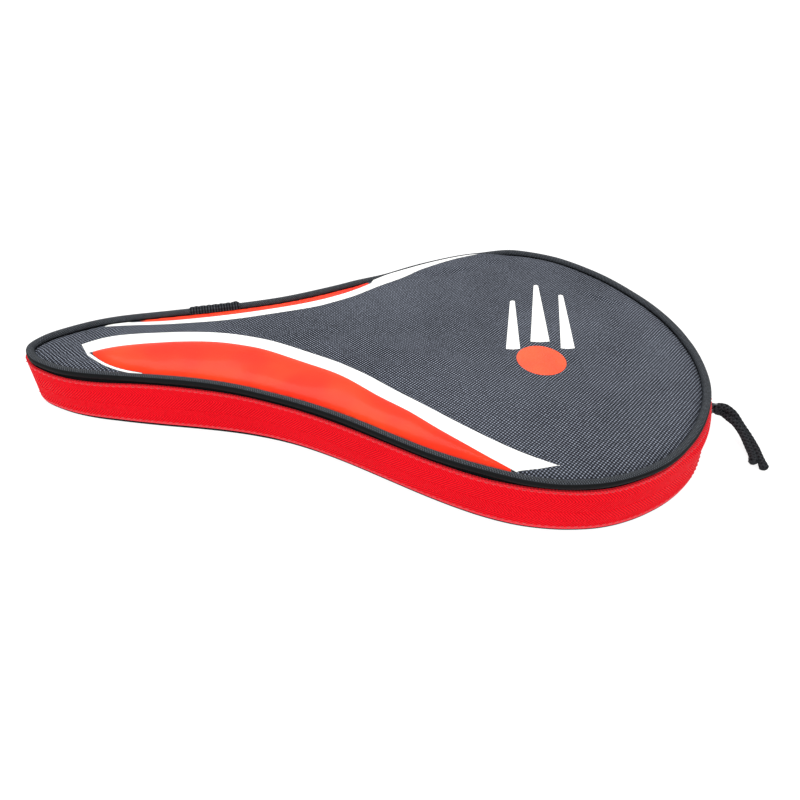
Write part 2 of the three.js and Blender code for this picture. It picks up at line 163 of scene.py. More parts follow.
def line_offset(table):
    """Smooth function of arc length through the table's station values."""
    v = np.array(table[0] + table[1][1:-1][::-1], float)
    g = np.arange(0, LENGTH, 0.5)
    y = np.interp(g, np.r_[_station, LENGTH], np.r_[v, v[0]])
    k = np.exp(-0.5 * (np.arange(-20, 21) * 0.5 / 3.0) ** 2)
    y = np.convolve(np.r_[y[-20:], y, y[:20]], k / k.sum(), "valid")
    return lambda s: np.interp(np.mod(np.asarray(s, float), LENGTH), np.r_[g, LENGTH], np.r_[y, y[0]])


wall_low, wall_top, top_line = line_offset(WALL_LOW), line_offset(WALL_TOP), line_offset(TOP)


def curl(s):
    """1 where the gusset curls in over the top, right up to the piping: round the head end and the handle's tip."""
    w = wave(s)
    head = np.where(w > 0, smooth(w, 60, 30), smooth(-w, 96, 62))
    tip = smooth(np.abs(np.mod(np.asarray(s, float), LENGTH) - LENGTH / 2), 24, 12)
    return np.maximum(head, tip)


def flare(s):
    """1 where the foot of the gusset spreads, on the near side of the head end."""
    w = wave(s)
    return smooth(-w, 22, 44) * smooth(-w, 100, 78)


def far_sag(s):
    """1 on the far side between waist and head, where the piping lies lower than the padded panel."""
    return smooth(s, 118, 140) * smooth(s, 222, 196)


def wave(s):
    """Signed distance from the head end along the contour, -LENGTH/2 to LENGTH/2."""
    s = np.mod(np.asarray(s, float), LENGTH)
    return np.where(s > LENGTH / 2, s - LENGTH, s)


def smooth(x, a, b):
    t = np.clip((np.asarray(x, float) - a) / (b - a), 0, 1)
    return t * t * (3 - 2 * t)


def fullness(s):
    """How far the gusset stands out: 0 along the slider's travel and the hinge, 1 round the rest."""
    w = wave(s)
    return np.where(w > 0, smooth(w, 30, 75), smooth(-w, 92, 130))


def offset_outline(line, d, step=2.2):
    s = np.arange(0, LENGTH, step)
    p, n = contour(s)
    return p + n * (line(s) + d)[:, None]


_near_s = np.arange(0, LENGTH, 0.8)
_near = offset_outline(top_line, 0, 0.8)


def from_edge(p):
    """Distance inward from the piping's centre line, for points inside."""
    p = np.asarray(p, float)
    out = np.empty(len(p))
    for i in range(0, len(p), 2000):
        out[i:i + 2000] = np.sqrt(((p[i:i + 2000, None] - _near[None]) ** 2).sum(2).min(1))
    return out


def vnoise(p, scale, seed):
    return np.array([noise.noise(Vector((x * scale + seed * 17.3, y * scale - seed * 5.1, seed * 3.7))) for x, y in p])


# ------------------------------------------------------------------ mesh helpers
def new_object(name, verts, faces, uv=None, shade=True, flat_angle=None):
    """verts in mm (outline frame). uv is one pair per face corner."""
    me = bpy.data.meshes.new(name)
    v = mm(verts)
    me.from_pydata(v.tolist(), [], faces if isinstance(faces, list) else faces.tolist())
    if uv is not None:
        layer = me.uv_layers.new(name="strip")
        layer.data.foreach_set("uv", np.asarray(uv, np.float32).ravel())
    me.update()
    ob = bpy.data.objects.new(name, me)
    scene.collection.objects.link(ob)
    me.polygons.foreach_set("use_smooth", [bool(shade)] * len(me.polygons))
    outward(me)
    if flat_angle:
        me.set_sharp_from_angle(angle=flat_angle * RAD)
    return ob


def outward(me):
    me.calc_loop_triangles()
    n = len(me.loop_triangles)
    tri = np.zeros(n * 3, np.int32)
    me.loop_triangles.foreach_get("vertices", tri)
    co = np.zeros(len(me.vertices) * 3, np.float32)
    me.vertices.foreach_get("co", co)
    t = co.reshape(-1, 3).astype(float)[tri.reshape(-1, 3)]
    if np.einsum("ij,ij->i", t[:, 0], np.cross(t[:, 1], t[:, 2])).sum() < 0:
        me.flip_normals()


def sweep(name, rows, closed_u, closed_v=True, caps=True, uv=None, shade=True, flat_angle=None):
    """rows is an array (n, m, 3). uv is (n + closed_u, m + closed_v, 2)."""
    n, k = rows.shape[:2]
    nu, nv = (n if closed_u else n - 1), (k if closed_v else k - 1)
    i, j = np.meshgrid(np.arange(nu), np.arange(nv), indexing="ij")
    i, j = i.ravel(), j.ravel()
    i1, j1 = (i + 1) % n, (j + 1) % k
    faces = np.stack([i * k + j, i1 * k + j, i1 * k + j1, i * k + j1], 1)
    corner = None
    if uv is not None:
        uv = np.asarray(uv, float)
        corner = np.stack([uv[i, j], uv[i + 1, j], uv[i + 1, j + 1], uv[i, j + 1]], 1)
    faces = faces.tolist()
    if caps and not closed_u and closed_v:
        faces.append(list(range(k)))
        faces.append([(n - 1) * k + q for q in range(k)][::-1])
        if corner is not None:
            corner = np.concatenate([corner.reshape(-1, 2), uv[0, :k], uv[-1, :k][::-1]])
    if corner is not None:
        corner = corner.reshape(-1, 2)
    return new_object(name, rows.reshape(-1, 3), faces, corner, shade, flat_angle)


def strip_rows(s, section):
    """Rows along the contour at arc lengths s; section(s) -> (n, m, 2) of (offset, z)."""
    p, nrm = contour(s)
    sec = section(s)
    rows = np.empty(sec.shape[:2] + (3,))
    rows[..., :2] = p[:, None] + nrm[:, None] * sec[..., :1]
    rows[..., 2] = sec[..., 1]
    return rows


def resample(poly, step, closed=True):
    p = np.asarray(poly, float)
    if closed:
        p = np.vstack([p, p[:1]])
    out = []
    for a, b in zip(p[:-1], p[1:]):
        n = max(1, int(math.ceil(np.linalg.norm(b - a) / step - 0.3)))
        out += [a + (b - a) * i / n for i in range(n)]
    if not closed:
        out.append(p[-1])
    return np.array(out)


def curve(points, step=1.2):
    """A smooth open curve through the points."""
    length, f = spline(points, False)
    return f(np.linspace(0, length, max(4, int(length / step)))).tolist()


def inside(p, poly):
    x, y = p[:, 0], p[:, 1]
    hit = np.zeros(len(p), bool)
    for a, b in zip(poly, np.roll(poly, -1, 0)):
        cross = (a[1] > y) != (b[1] > y)
        if cross.any():
            with np.errstate(divide="ignore", invalid="ignore"):
                hit ^= cross & (x < (b[0] - a[0]) * (y - a[1]) / (b[1] - a[1]) + a[0])
    return hit


def edge_distance(p, poly):
    best = np.full(len(p), 1e9)
    for a, b in zip(poly, np.roll(poly, -1, 0)):
        d = b - a
        t = np.clip(((p - a) @ d) / max(d @ d, 1e-12), 0, 1)
        best = np.minimum(best, np.linalg.norm(p - a - t[:, None] * d, axis=1))
    return best


def triangulate(poly, step):
    """Flat mesh of the polygon: points, triangles, distance of each point from the polygon's edge."""
    b = resample(poly, step)
    lo, hi = b.min(0), b.max(0)
    ys = np.arange(lo[1], hi[1], step * 0.866)
    pts = np.array([[x + (k % 2) * step / 2, y] for k, y in enumerate(ys) for x in np.arange(lo[0], hi[0], step)])
    pts = pts[inside(pts, b)]
    pts = pts[edge_distance(pts, b) > 0.55 * step]
    allp = np.vstack([b, pts]) if len(pts) else b
    n = len(b)
    v, _, f, *_ = delaunay_2d_cdt([Vector(q) for q in allp], [], [list(range(n))], 1, 1e-5)
    v = np.array([list(q) for q in v])
    return v, [list(q) for q in f], edge_distance(v, b)


def shell(name, p, faces, top, bottom, uv=False):
    """Closed solid between the surfaces top and bottom over a flat triangle mesh."""
    n = len(p)
    verts = np.vstack([np.c_[p, top], np.c_[p, bottom]])
    count = {}
    for f in faces:
        for a, b in zip(f, f[1:] + f[:1]):
            count[(a, b)] = count.get((a, b), 0) + 1
    out = [list(f) for f in faces] + [[n + q for q in f[::-1]] for f in faces]
    for a, b in count:
        if (b, a) not in count:
            out.append([b, a, n + a, n + b])
    return new_object(name, verts, out, None, True, 50)


# ------------------------------------------------------------------ material helpers
class Mat:
    def __init__(self, name, rough=0.6, **sockets):
        self.m = bpy.data.materials.new(name)
        self.m.use_nodes = True
        self.t = self.m.node_tree
        self.t.nodes.clear()
        self.out = self.node("ShaderNodeOutputMaterial")
        self.b = self.node("ShaderNodeBsdfPrincipled")
        self.t.links.new(self.b.outputs[0], self.out.inputs[0])
        self.b.inputs["Roughness"].default_value = rough
        for k, v in sockets.items():
            self.b.inputs[k.replace("_", " ")].default_value = v

    def node(self, kind, **props):
        n = self.t.nodes.new(kind)
        for k, v in props.items():
            setattr(n, k, v)
        return n

    def put(self, socket, value):
        if isinstance(value, bpy.types.NodeSocket):
            self.t.links.new(value, socket)
        elif isinstance(value, (tuple, list)) and len(value) == 3 and socket.type == "RGBA":
            socket.default_value = (*value, 1)
        else:
            socket.default_value = value

    def math(self, op, *args, clamp=False):
        n = self.node("ShaderNodeMath", operation=op, use_clamp=clamp)
        for i, a in enumerate(args):
            self.put(n.inputs[i], a)
        return n.outputs[0]

    def mix(self, fac, a, b):
        n = self.node("ShaderNodeMix", data_type="RGBA")
        self.put(n.inputs[0], fac)
        self.put(n.inputs[6], a)
        self.put(n.inputs[7], b)
        return n.outputs[2]

    def step(self, x, a, b):
        n = self.node("ShaderNodeMapRange", interpolation_type="SMOOTHSTEP")
        self.put(n.inputs[0], x)
        n.inputs[1].default_value, n.inputs[2].default_value = a, b
        return n.outputs[0]

    def where(self):
        return self.node("ShaderNodeTexCoord").outputs["Object"]

    def split(self, vector):
        n = self.node("ShaderNodeSeparateXYZ")
        self.put(n.inputs[0], vector)
        return n.outputs

    def strip(self):
        n = self.node("ShaderNodeUVMap", uv_map="strip")
        return self.split(n.outputs[0])

    def noise(self, vector, scale, detail=2.0, rough=0.5):
        n = self.node("ShaderNodeTexNoise")
        self.put(n.inputs["Vector"], vector)
        n.inputs["Scale"].default_value = scale
        n.inputs["Detail"].default_value = detail
        n.inputs["Roughness"].default_value = rough
        return n.outputs[0]

    def sine(self, x, period, shift=0.0):
        """0..1 wave of x (metres) with a period in metres."""
        a = self.math("MULTIPLY_ADD", x, 2 * math.pi / period, shift)
        return self.math("MULTIPLY_ADD", self.math("SINE", a), 0.5, 0.5)

    def bump(self, height, distance, strength=1.0, below=None):
        n = self.node("ShaderNodeBump")
        n.inputs["Strength"].default_value = strength
        n.inputs["Distance"].default_value = distance
        self.put(n.inputs["Height"], height)
        if below is not None:
            self.put(n.inputs["Normal"], below)
        return n.outputs[0]

    def colour(self, c):
        self.put(self.b.inputs["Base Color"], c)

    def normal(self, c):
        self.put(self.b.inputs["Normal"], c)


def srgb(r, g, b):
    return tuple((c / 255 / 12.92) if c <= 10 else ((c / 255 + 0.055) / 1.055) ** 2.4 for c in (r, g, b))


def plain_weave(g, x, y, pitch, wobble=None):
    """Height 0..1 of a plain weave with the given thread pitch in metres."""
    if wobble is not None:
        x = g.math("MULTIPLY_ADD", wobble, pitch * 0.5, x)
        y = g.math("MULTIPLY_ADD", wobble, pitch * 0.4, y)
    a = g.math("SINE", g.math("MULTIPLY", x, 2 * math.pi / pitch))
    b = g.math("SINE", g.math("MULTIPLY", y, 2 * math.pi / pitch))
    return g.math("MULTIPLY_ADD", g.math("MULTIPLY", a, b), 0.5, 0.5)


def canvas_material(name, dark, light, pitch=0.0016):
    g = Mat(name, 0.85, Specular_IOR_Level=0.08)
    w = g.where()
    x, y, z = g.split(w)
    big = g.noise(w, 260, 2)
    h = plain_weave(g, x, y, pitch, big)
    fleck = g.noise(w, 2300, 1)
    soft = g.noise(w, 24, 3)
    f = g.math("POWER", h, 3.5)
    f = g.math("MULTIPLY", f, g.math("MULTIPLY_ADD", g.step(fleck, 0.36, 0.62), 0.75, 0.5))
    f = g.math("MULTIPLY_ADD", f, 1.0, g.math("MULTIPLY_ADD", soft, 0.16, -0.06), clamp=True)
    g.colour(g.mix(f, dark, light))
    g.put(g.b.inputs["Roughness"], g.math("MULTIPLY_ADD", h, -0.15, 0.85))
    g.normal(g.bump(h, 0.00035, 0.75))
    return g.m


def webbing_material(name, dark, light, period=0.0009):
    """Fine cross-ribbed tape along the strip coordinate."""
    g = Mat(name, 0.8, Specular_IOR_Level=0.06)
    u, v, _ = g.strip()
    h = g.math("MULTIPLY", g.sine(u, period), g.math("MULTIPLY_ADD", g.sine(v, period * 1.3), 0.5, 0.5))
    n = g.noise(g.where(), 900, 2)
    g.colour(g.mix(g.math("MULTIPLY", h, g.math("MULTIPLY_ADD", n, 1.3, 0.1), clamp=True), dark, light))
    g.normal(g.bump(h, 0.0002, 0.8))
    return g.m


def tape_material(name, apex):
    """Herringbone zip tape: strip coordinates in metres along (u) and up (v)."""
    g = Mat(name, 0.8, Specular_IOR_Level=0.04)
    u, v, _ = g.strip()
    where = g.where()
    away = g.math("ABSOLUTE", g.math("SUBTRACT", v, apex))
    wob = g.noise(where, 120, 2)
    k = g.math("ADD", g.math("ADD", u, g.math("MULTIPLY", away, 1.0)), g.math("MULTIPLY", wob, 0.0006))
    rib = g.sine(k, 0.00125)
    fine = g.sine(g.math("MULTIPLY_ADD", v, 0.6, u), 0.00052)
    h = g.math("MULTIPLY_ADD", fine, 0.3, g.math("MULTIPLY", rib, 0.8))
    fleck = g.noise(where, 1300, 2)
    f = g.math("MULTIPLY", h, g.math("MULTIPLY_ADD", fleck, 1.1, 0.35), clamp=True)
    c = g.mix(f, srgb(168, 0, 10), srgb(255, 18, 36))
    tint = g.noise(where, 22, 2)
    c = g.mix(g.math("MULTIPLY", g.math("SUBTRACT", tint, 0.35, clamp=True), 0.4), c, srgb(255, 20, 38))
    # Painted highlight: the colour is pushed towards pale pink in a band along the tape's top edge (v above 18.5 mm)
    # and, more strongly, along its bottom edge (v below 2.4 mm).
    light = g.math("MULTIPLY", g.step(v, 0.0185, 0.0192), 0.12)
    low = g.math("MULTIPLY", g.step(v, 0.0024, 0.0016), 0.35)
    c = g.mix(g.math("MAXIMUM", light, low), c, srgb(255, 105, 115))
    g.colour(c)
    g.put(g.b.inputs["Roughness"], g.math("MULTIPLY_ADD", h, -0.12, 0.7))
    g.normal(g.bump(h, 0.00022, 0.8))
    return g.m


def piping_material():
    """Ribbed cord cover: u along the cord, v the angle round it (turns), 0 outward, 0.25 on top. The rib tops on the
    upper side are painted light grey as a highlight; the lower side stays near black.
    """
    g = Mat("piping_fabric", 0.6, Specular_IOR_Level=0.12)
    u, v, _ = g.strip()
    where = g.where()
    n = g.noise(where, 1100, 2)
    lift = g.node("ShaderNodeAttribute", attribute_name="rib").outputs["Fac"]
    # Painted highlight: top masks the cord's upper side, where the rib tops get the light grey of hi; lo keeps the
    # lower side near black. line is a thin near-black band along the lower edge of that painted highlight.
    top = g.math("MULTIPLY", g.step(v, 0.105, 0.15), g.step(v, 0.56, 0.46))
    line = g.math("MULTIPLY", g.step(v, 0.085, 0.10), g.step(v, 0.135, 0.115))
    f = g.math("MULTIPLY", g.math("POWER", lift, 2.2), g.math("MULTIPLY_ADD", n, 1.3, 0.15), clamp=True)
    hi = g.mix(top, srgb(14, 16, 19), srgb(112, 118, 126))
    lo = g.mix(top, srgb(3, 4, 5), srgb(5, 6, 8))
    c = g.mix(f, lo, hi)
    c = g.mix(g.math("MULTIPLY", line, 0.8), c, srgb(6, 7, 9))
    g.colour(c)
    g.normal(g.bump(n, 0.00008, 0.5))
    return g.m


def gloss_material(name, colour, deep, rough=0.3, coat=0.5):
    g = Mat(name, rough, Coat_Weight=coat, Coat_Roughness=0.12, Specular_IOR_Level=0.12)
    where = g.where()
    n = g.noise(where, 30, 2)
    fine = g.noise(where, 1400, 2)
    g.colour(g.mix(g.step(n, 0.35, 0.65), colour, deep))
    g.put(g.b.inputs["Roughness"], g.math("MULTIPLY_ADD", fine, 0.12, rough - 0.06))
    g.normal(g.bump(fine, 0.00003, 0.4, g.bump(n, 0.0012, 0.25)))
    return g.m


def satin_material(name, colour, deep):
    g = Mat(name, 0.42, Specular_IOR_Level=0.45)
    where = g.where()
    x, y, _ = g.split(where)
    n = g.noise(where, 60, 3)
    thread = plain_weave(g, x, y, 0.00125)
    g.colour(g.mix(g.step(n, 0.3, 0.75), colour, deep))
    g.put(g.b.inputs["Roughness"], g.math("MULTIPLY_ADD", n, 0.2, 0.32))
    g.normal(g.bump(thread, 0.00007, 0.5))
    return g.m


def foam_material():
    g = Mat("foam_cells", 0.95, Specular_IOR_Level=0.15)
    w = g.where()
    v = g.node("ShaderNodeTexVoronoi")
    g.put(v.inputs["Vector"], w)
    v.inputs["Scale"].default_value = 1400
    g.colour(g.mix(v.outputs["Distance"], srgb(70, 72, 76), srgb(142, 144, 148)))
    g.normal(g.bump(v.outputs["Distance"], 0.0003, 0.7))
    return g.m


def lining_material():
    g = Mat("tricot_lining", 0.6, Sheen_Weight=0.4, Sheen_Roughness=0.35, Specular_IOR_Level=0.3)
    w = g.where()
    x, y, _ = g.split(w)
    a = g.sine(x, 0.0009)
    b = g.sine(g.math("ADD", y, g.math("MULTIPLY", a, 0.0004)), 0.0007)
    h = g.math("MULTIPLY", a, b)
    n = g.noise(w, 35, 3)
    g.colour(g.mix(g.math("MULTIPLY_ADD", n, 0.5, g.math("MULTIPLY", h, 0.4), clamp=True), srgb(16, 17, 20), srgb(48, 50, 56)))
    g.normal(g.bump(h, 0.00012, 0.6))
    return g.m


def metal_material():
    g = Mat("dark_plated_metal", 0.32, Metallic=1.0)
    w = g.where()
    n = g.noise(w, 700, 3)
    big = g.noise(w, 160, 2)
    g.colour(g.mix(g.step(big, 0.45, 0.75), srgb(66, 67, 71), srgb(128, 128, 130)))
    g.put(g.b.inputs["Roughness"], g.math("MULTIPLY_ADD", n, 0.3, 0.2))
    g.normal(g.bump(n, 0.00003, 0.4))
    return g.m


def coil_material():
    g = Mat("coil_nylon", 0.35, Specular_IOR_Level=0.5)
    n = g.noise(g.where(), 500, 2)
    g.colour(g.mix(n, srgb(150, 10, 24), srgb(205, 30, 48)))
    g.put(g.b.inputs["Roughness"], g.math("MULTIPLY_ADD", n, 0.2, 0.25))
    return g.m


def cord_material():
    g = Mat("braided_cord", 0.8, Specular_IOR_Level=0.05)
    lift = g.node("ShaderNodeAttribute", attribute_name="rib").outputs["Fac"]
    n = g.noise(g.where(), 1500, 2)
    f = g.math("MULTIPLY", g.math("POWER", lift, 1.5), g.math("MULTIPLY_ADD", n, 1.2, 0.2), clamp=True)
    g.colour(g.mix(f, srgb(5, 5, 6), srgb(62, 64, 68)))
    g.normal(g.bump(n, 0.0001, 0.6))
    return g.m


def thread_material(name, a, b):
    g = Mat(name, 0.5, Sheen_Weight=0.2)
    w = g.where()
    x, y, z = g.split(w)
    ply = g.sine(g.math("ADD", g.math("ADD", x, y), z), 0.00045)
    g.colour(g.mix(ply, a, b))
    g.normal(g.bump(ply, 0.00008, 0.6))
    return g.m


MAT = {
    "canvas": canvas_material("front_canvas", srgb(5, 6, 11), srgb(163, 170, 186)),
    "rear_canvas": canvas_material("rear_canvas", srgb(18, 20, 24), srgb(88, 92, 100)),
    "webbing": webbing_material("black_webbing", srgb(8, 9, 11), srgb(46, 49, 54)),
    "binding": webbing_material("black_binding", srgb(5, 6, 7), srgb(24, 26, 29), 0.0007),
    "sleeve": webbing_material("rough_sleeve", srgb(10, 11, 13), srgb(78, 82, 88), 0.0013),
    "piping": piping_material(),
    "tape_up": tape_material("red_tape_upper", 0.0154),
    "tape_low": tape_material("red_tape_lower", 0.0055),
    "orange": gloss_material("glossy_orange", srgb(250, 62, 16), srgb(240, 40, 6), 0.36, 0.10),
    "print": satin_material("printed_orange", srgb(255, 82, 24), srgb(248, 66, 18)),
    "white": satin_material("satin_white", srgb(252, 252, 249), srgb(243, 243, 238)),
    "foam": foam_material(),
    "lining": lining_material(),
    "metal": metal_material(),
    "coil": coil_material(),
    "cord": cord_material(),
    "thread": thread_material("seam_thread", srgb(196, 16, 30), srgb(226, 48, 60)),
    "dark_thread": thread_material("dark_thread", srgb(20, 20, 23), srgb(74, 76, 82)),
}


def finish_piece(ob, mat, body, slot, *nodes):
    ob.data.materials.clear()
    ob.data.materials.append(MAT[mat])
    if body:
        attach(ob, body)
    if nodes:
        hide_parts(*nodes)
    return ob


def rib_attribute(ob, values):
    a = ob.data.attributes.new("rib", "FLOAT", "POINT")
    a.data.foreach_set("value", np.asarray(values, np.float32).ravel())


# ------------------------------------------------------------------ pull cord
CORD_PATH = np.array([
    [305.5, -35.2, 10.0], [307.1, -35.9, 9.9], [308.6, -37.6, 9.4], [310.2, -39.9, 8.6], [311.6, -42.2, 7.4],
    [312.9, -44.8, 6.0], [313.8, -47.6, 4.7], [314.2, -51.0, 3.5], [314.2, -54.5, 2.7], [313.8, -58.0, 2.2],
    [313.0, -61.4, 2.0], [312.0, -64.4, 2.0],
])


def braided(name, centre, radius, end_caps=(True, True), sides=32, step=0.14, plait=1.9):
    """A braided round cord along the centre line, with rounded blunt ends."""
    length, f = spline(centre, False)
    n = int(length / step)
    t = np.linspace(0, length, n)
    p = f(t)
    d = np.gradient(p, axis=0)
    d /= np.linalg.norm(d, axis=1)[:, None]
    a = np.zeros_like(p)
    a[0] = np.cross(d[0], [0, 0, 1.0])
    for i in range(n):  # parallel transport
        v = a[max(0, i - 1)] - d[i] * (a[max(0, i - 1)] @ d[i])
        a[i] = v / np.linalg.norm(v)
    b = np.cross(d, a)
    th = np.linspace(0, 2 * math.pi, sides, endpoint=False)
    tt, hh = np.meshgrid(t, th, indexing="ij")
    k = 2 * math.pi / plait
    w1, w2 = np.cos(4 * hh + k * tt), np.cos(4 * hh - k * tt)
    lift = 0.5 + 0.5 * np.maximum(w1, w2) * (0.65 + 0.35 * np.sign(np.sin(8 * hh)) * np.sign(w1 - w2))
    r = radius(t)[:, None] * (0.90 + 0.13 * lift)
    cap = np.ones(n)
    if end_caps[0]:
        cap *= np.sqrt(np.clip(1 - (1 - np.clip(t / 0.9, 0, 1)) ** 2, 0.0, 1))
    if end_caps[1]:
        cap *= np.sqrt(np.clip(1 - (1 - np.clip((length - t) / 0.9, 0, 1)) ** 2, 0.0, 1))
    r = r * np.maximum(cap, 0.08)[:, None]
    rows = p[:, None] + a[:, None] * (r * np.cos(hh))[..., None] + b[:, None] * (r * np.sin(hh))[..., None]
    ob = sweep(name, rows, False)
    rib_attribute(ob, lift)
    return ob


def make_cord():
    length, f = spline(CORD_PATH, False)
    t = np.linspace(0, length, 60)
    p = f(t)
    d = np.gradient(p, axis=0)
    d /= np.linalg.norm(d, axis=1)[:, None]
    side = np.stack([d[:, 1], -d[:, 0], np.zeros(len(d))], 1)
    side /= np.linalg.norm(side, axis=1)[:, None]
    # half distance between the strands: wide round the puller bar, close, then splayed at the ends
    gap = 1.22 + 0.35 * (1 - smooth(t, 0.5, 5)) + 1.0 * smooth(t, length - 9, length)
    lift = 0.35 * np.sin(t * 0.33)
    turn_by = smooth(t, 1, 10) * math.pi / 2
    apart = np.array([0, 0, 1.0]) * np.cos(turn_by)[:, None] - side * np.sin(turn_by)[:, None]
    left = p + apart * gap[:, None] + np.stack([0 * t, 0 * t, lift], 1)
    rightp = p - apart * gap[:, None] - np.stack([0 * t, 0 * t, lift * 0.4], 1)
    left[:, 2] = np.maximum(left[:, 2], 1.45)
    rightp[:, 2] = np.maximum(rightp[:, 2], 1.45)
    # one end is a little longer than the other
    tail = left[-1] + (left[-1] - left[-2]) / np.linalg.norm(left[-1] - left[-2]) * 0.3
    left = np.vstack([left[:-2], tail - (left[-1] - left[-3])])
    rightp = rightp[:-5]
    back = -d[0]
    turn = [p[0] + (apart[0] * math.cos(a) + back * math.sin(a)) * gap[0] for a in np.linspace(0, math.pi, 9)[1:-1]]
    centre = np.vstack([left[::-1], turn, rightp])
    keep = [0]
    for i in range(1, len(centre)):
        if np.linalg.norm(centre[i] - centre[keep[-1]]) > 0.45:
            keep.append(i)
    ob = braided("pull_cord_braid", centre[keep], lambda s: 1.55 + 0.4 * smooth(s, 5, 0) + 0.4 * smooth(s, s[-1] - 5, s[-1]))
    finish_piece(ob, "cord", "puller", "cord", "pull_cord")
    path = mm(f(np.linspace(0, length, 24)))


make_cord()

# ------------------------------------------------------------------ front panel (padded, pinned round its edge)
PANEL_EDGE = -1.3


def rest_height(p):
    """Surface of the padded panel before the cloth settles: low at the seam, full a little way in."""
    e = from_edge(p)
    k = np.array([np.argmin(((_near - q) ** 2).sum(1)) for q in p])
    low = 21.7 + 1.75 * far_sag(_near_s[k])
    z = low + (23.85 - low) * (1 - np.exp(-np.maximum(e - 1.3, 0) / 3.2))
    z += 0.55 * smooth(e, 8, 60)
    return z, e


def front_surface():
    p, faces, _ = triangulate(offset_outline(top_line, PANEL_EDGE), 2.1)
    z, e = rest_height(p)
    calm = smooth(e, 3, 14)
    z = z + calm * (0.30 * vnoise(p, 0.022, 1) + 0.12 * vnoise(p, 0.06, 2))
    # soft creases: two near the far edge of the head, one near the head's far shoulder
    def crease(a, b, width, depth):
        a, b = np.array(a, float), np.array(b, float)
        d = b - a
        t = np.clip(((p - a) @ d) / (d @ d), 0, 1)
        q = np.linalg.norm(p - a - t[:, None] * d, axis=1)
        return -depth * np.exp(-(q / width) ** 2) * np.sin(np.pi * np.clip(t, 0.02, 0.98)) ** 0.5 + 0.5 * depth * np.exp(-((q - 2.2 * width) / width) ** 2)
    z = z + crease((183, 62), (222, 74), 2.6, 0.9) + crease((262, 42), (281, 30), 2.0, 0.9) + 0.6 * crease((205, 76), (236, 78), 2.2, 0.8)
    settled = settle(p, faces, z, e)
    dz = relax(np.clip(settled - z, -0.9, 0.9), faces, 45)
    z = z + np.clip(dz, -0.45, 0.45) * smooth(e, 3, 16)
    return p, faces, z, e


def relax(values, faces, rounds):
    """Evens values out over the mesh, so the settled cloth keeps its broad swell and drops its ripples."""
    tri = np.array([(f[0], f[i], f[i + 1]) for f in faces for i in range(1, len(f) - 1)])
    pair = np.vstack([tri[:, [0, 1]], tri[:, [1, 2]], tri[:, [2, 0]]])
    pair = np.unique(np.sort(pair, 1), axis=0)
    a, b = pair[:, 0], pair[:, 1]
    n = len(values)
    count = np.bincount(a, minlength=n) + np.bincount(b, minlength=n)
    v = np.array(values, float)
    for _ in range(rounds):
        v = 0.4 * v + 0.6 * (np.bincount(a, v[b], n) + np.bincount(b, v[a], n)) / np.maximum(count, 1)
    return v


def settle(p, faces, z, e):
    """Cloth with its edge sewn down, cut slightly full, over foam that pushes it up."""
    me = bpy.data.meshes.new("settling")
    me.from_pydata(mm(np.c_[p, z]).tolist(), [], faces)
    me.update()
    if me.polygons[0].normal.z < 0:
        me.flip_normals()
    ob = bpy.data.objects.new("settling", me)
    scene.collection.objects.link(ob)
    pin = ob.vertex_groups.new(name="pin")
    for i, w in enumerate(np.clip(1.15 - (e - 1.3) / 5.0, 0.0, 1.0)):
        if w > 0:
            pin.add([i], float(w if w < 0.97 else 1.0), "REPLACE")
    mod = ob.modifiers.new("cloth", "CLOTH")
    s = mod.settings
    s.quality = 6
    s.mass = 0.12
    s.air_damping = 4
    s.tension_stiffness = s.compression_stiffness = 18
    s.shear_stiffness = 8
    s.bending_stiffness = 0.9
    s.vertex_group_mass = "pin"
    s.pin_stiffness = 1
    s.shrink_min = -0.008
    s.use_pressure = True
    s.uniform_pressure_force = 0.35
    s.effector_weights.gravity = 0
    mod.collision_settings.use_collision = False
    mod.point_cache.frame_start, mod.point_cache.frame_end = 1, 30
    for k in range(1, 25):
        scene.frame_set(k)
    dg = bpy.context.evaluated_depsgraph_get()
    ev = ob.evaluated_get(dg)
    co = np.zeros(len(ev.data.vertices) * 3, np.float32)
    ev.data.vertices.foreach_get("co", co)
    out = co.reshape(-1, 3)[:, 2].astype(float) * 1000
    bpy.data.objects.remove(ob)
    scene.frame_set(1)
    return out


FP, FF, FZ, FE = front_surface()
front = shell("front_panel", FP, FF, FZ, FZ - 0.75)
finish_piece(front, "canvas", "front_half", "canvas", "front_cover")

_tree = BVHTree.FromPolygons([Vector(q) for q in np.c_[FP, FZ]], FF)


def height(p):
    out = []
    for x, y in p:
        hit = _tree.ray_cast(Vector((x, y, 60)), Vector((0, 0, -1)))[0]
        if hit is None:
            hit = _tree.find_nearest(Vector((x, y, 22)))[0]
        out.append(hit.z)
    return np.array(out)


def applique(name, poly, step, base, crown, reach, sink=0.12):
    """A piece lying on the panel: it follows the panel's surface, stands base above it and crowns by crown."""
    p, faces, ed = triangulate(np.array(poly, float), step)
    h = height(p)
    top = h + base * (0.55 + 0.45 * (1 - np.exp(-ed / 0.25))) + crown * (1 - np.exp(-ed / reach))
    return shell(name, p, faces, top, h - sink)


def edge_path(d, x0, x1, side):
    s = np.arange(0, LENGTH, 1.5)
    p, n = contour(s)
    q = p + n * (top_line(s) + d)[:, None]
    keep = (q[:, 0] > x0) & (q[:, 0] < x1) & (np.sign(p[:, 1]) == side) & (p[:, 0] < 249)
    q = q[keep]
    return q[np.argsort(q[:, 0])].tolist()  # from the handle towards the head


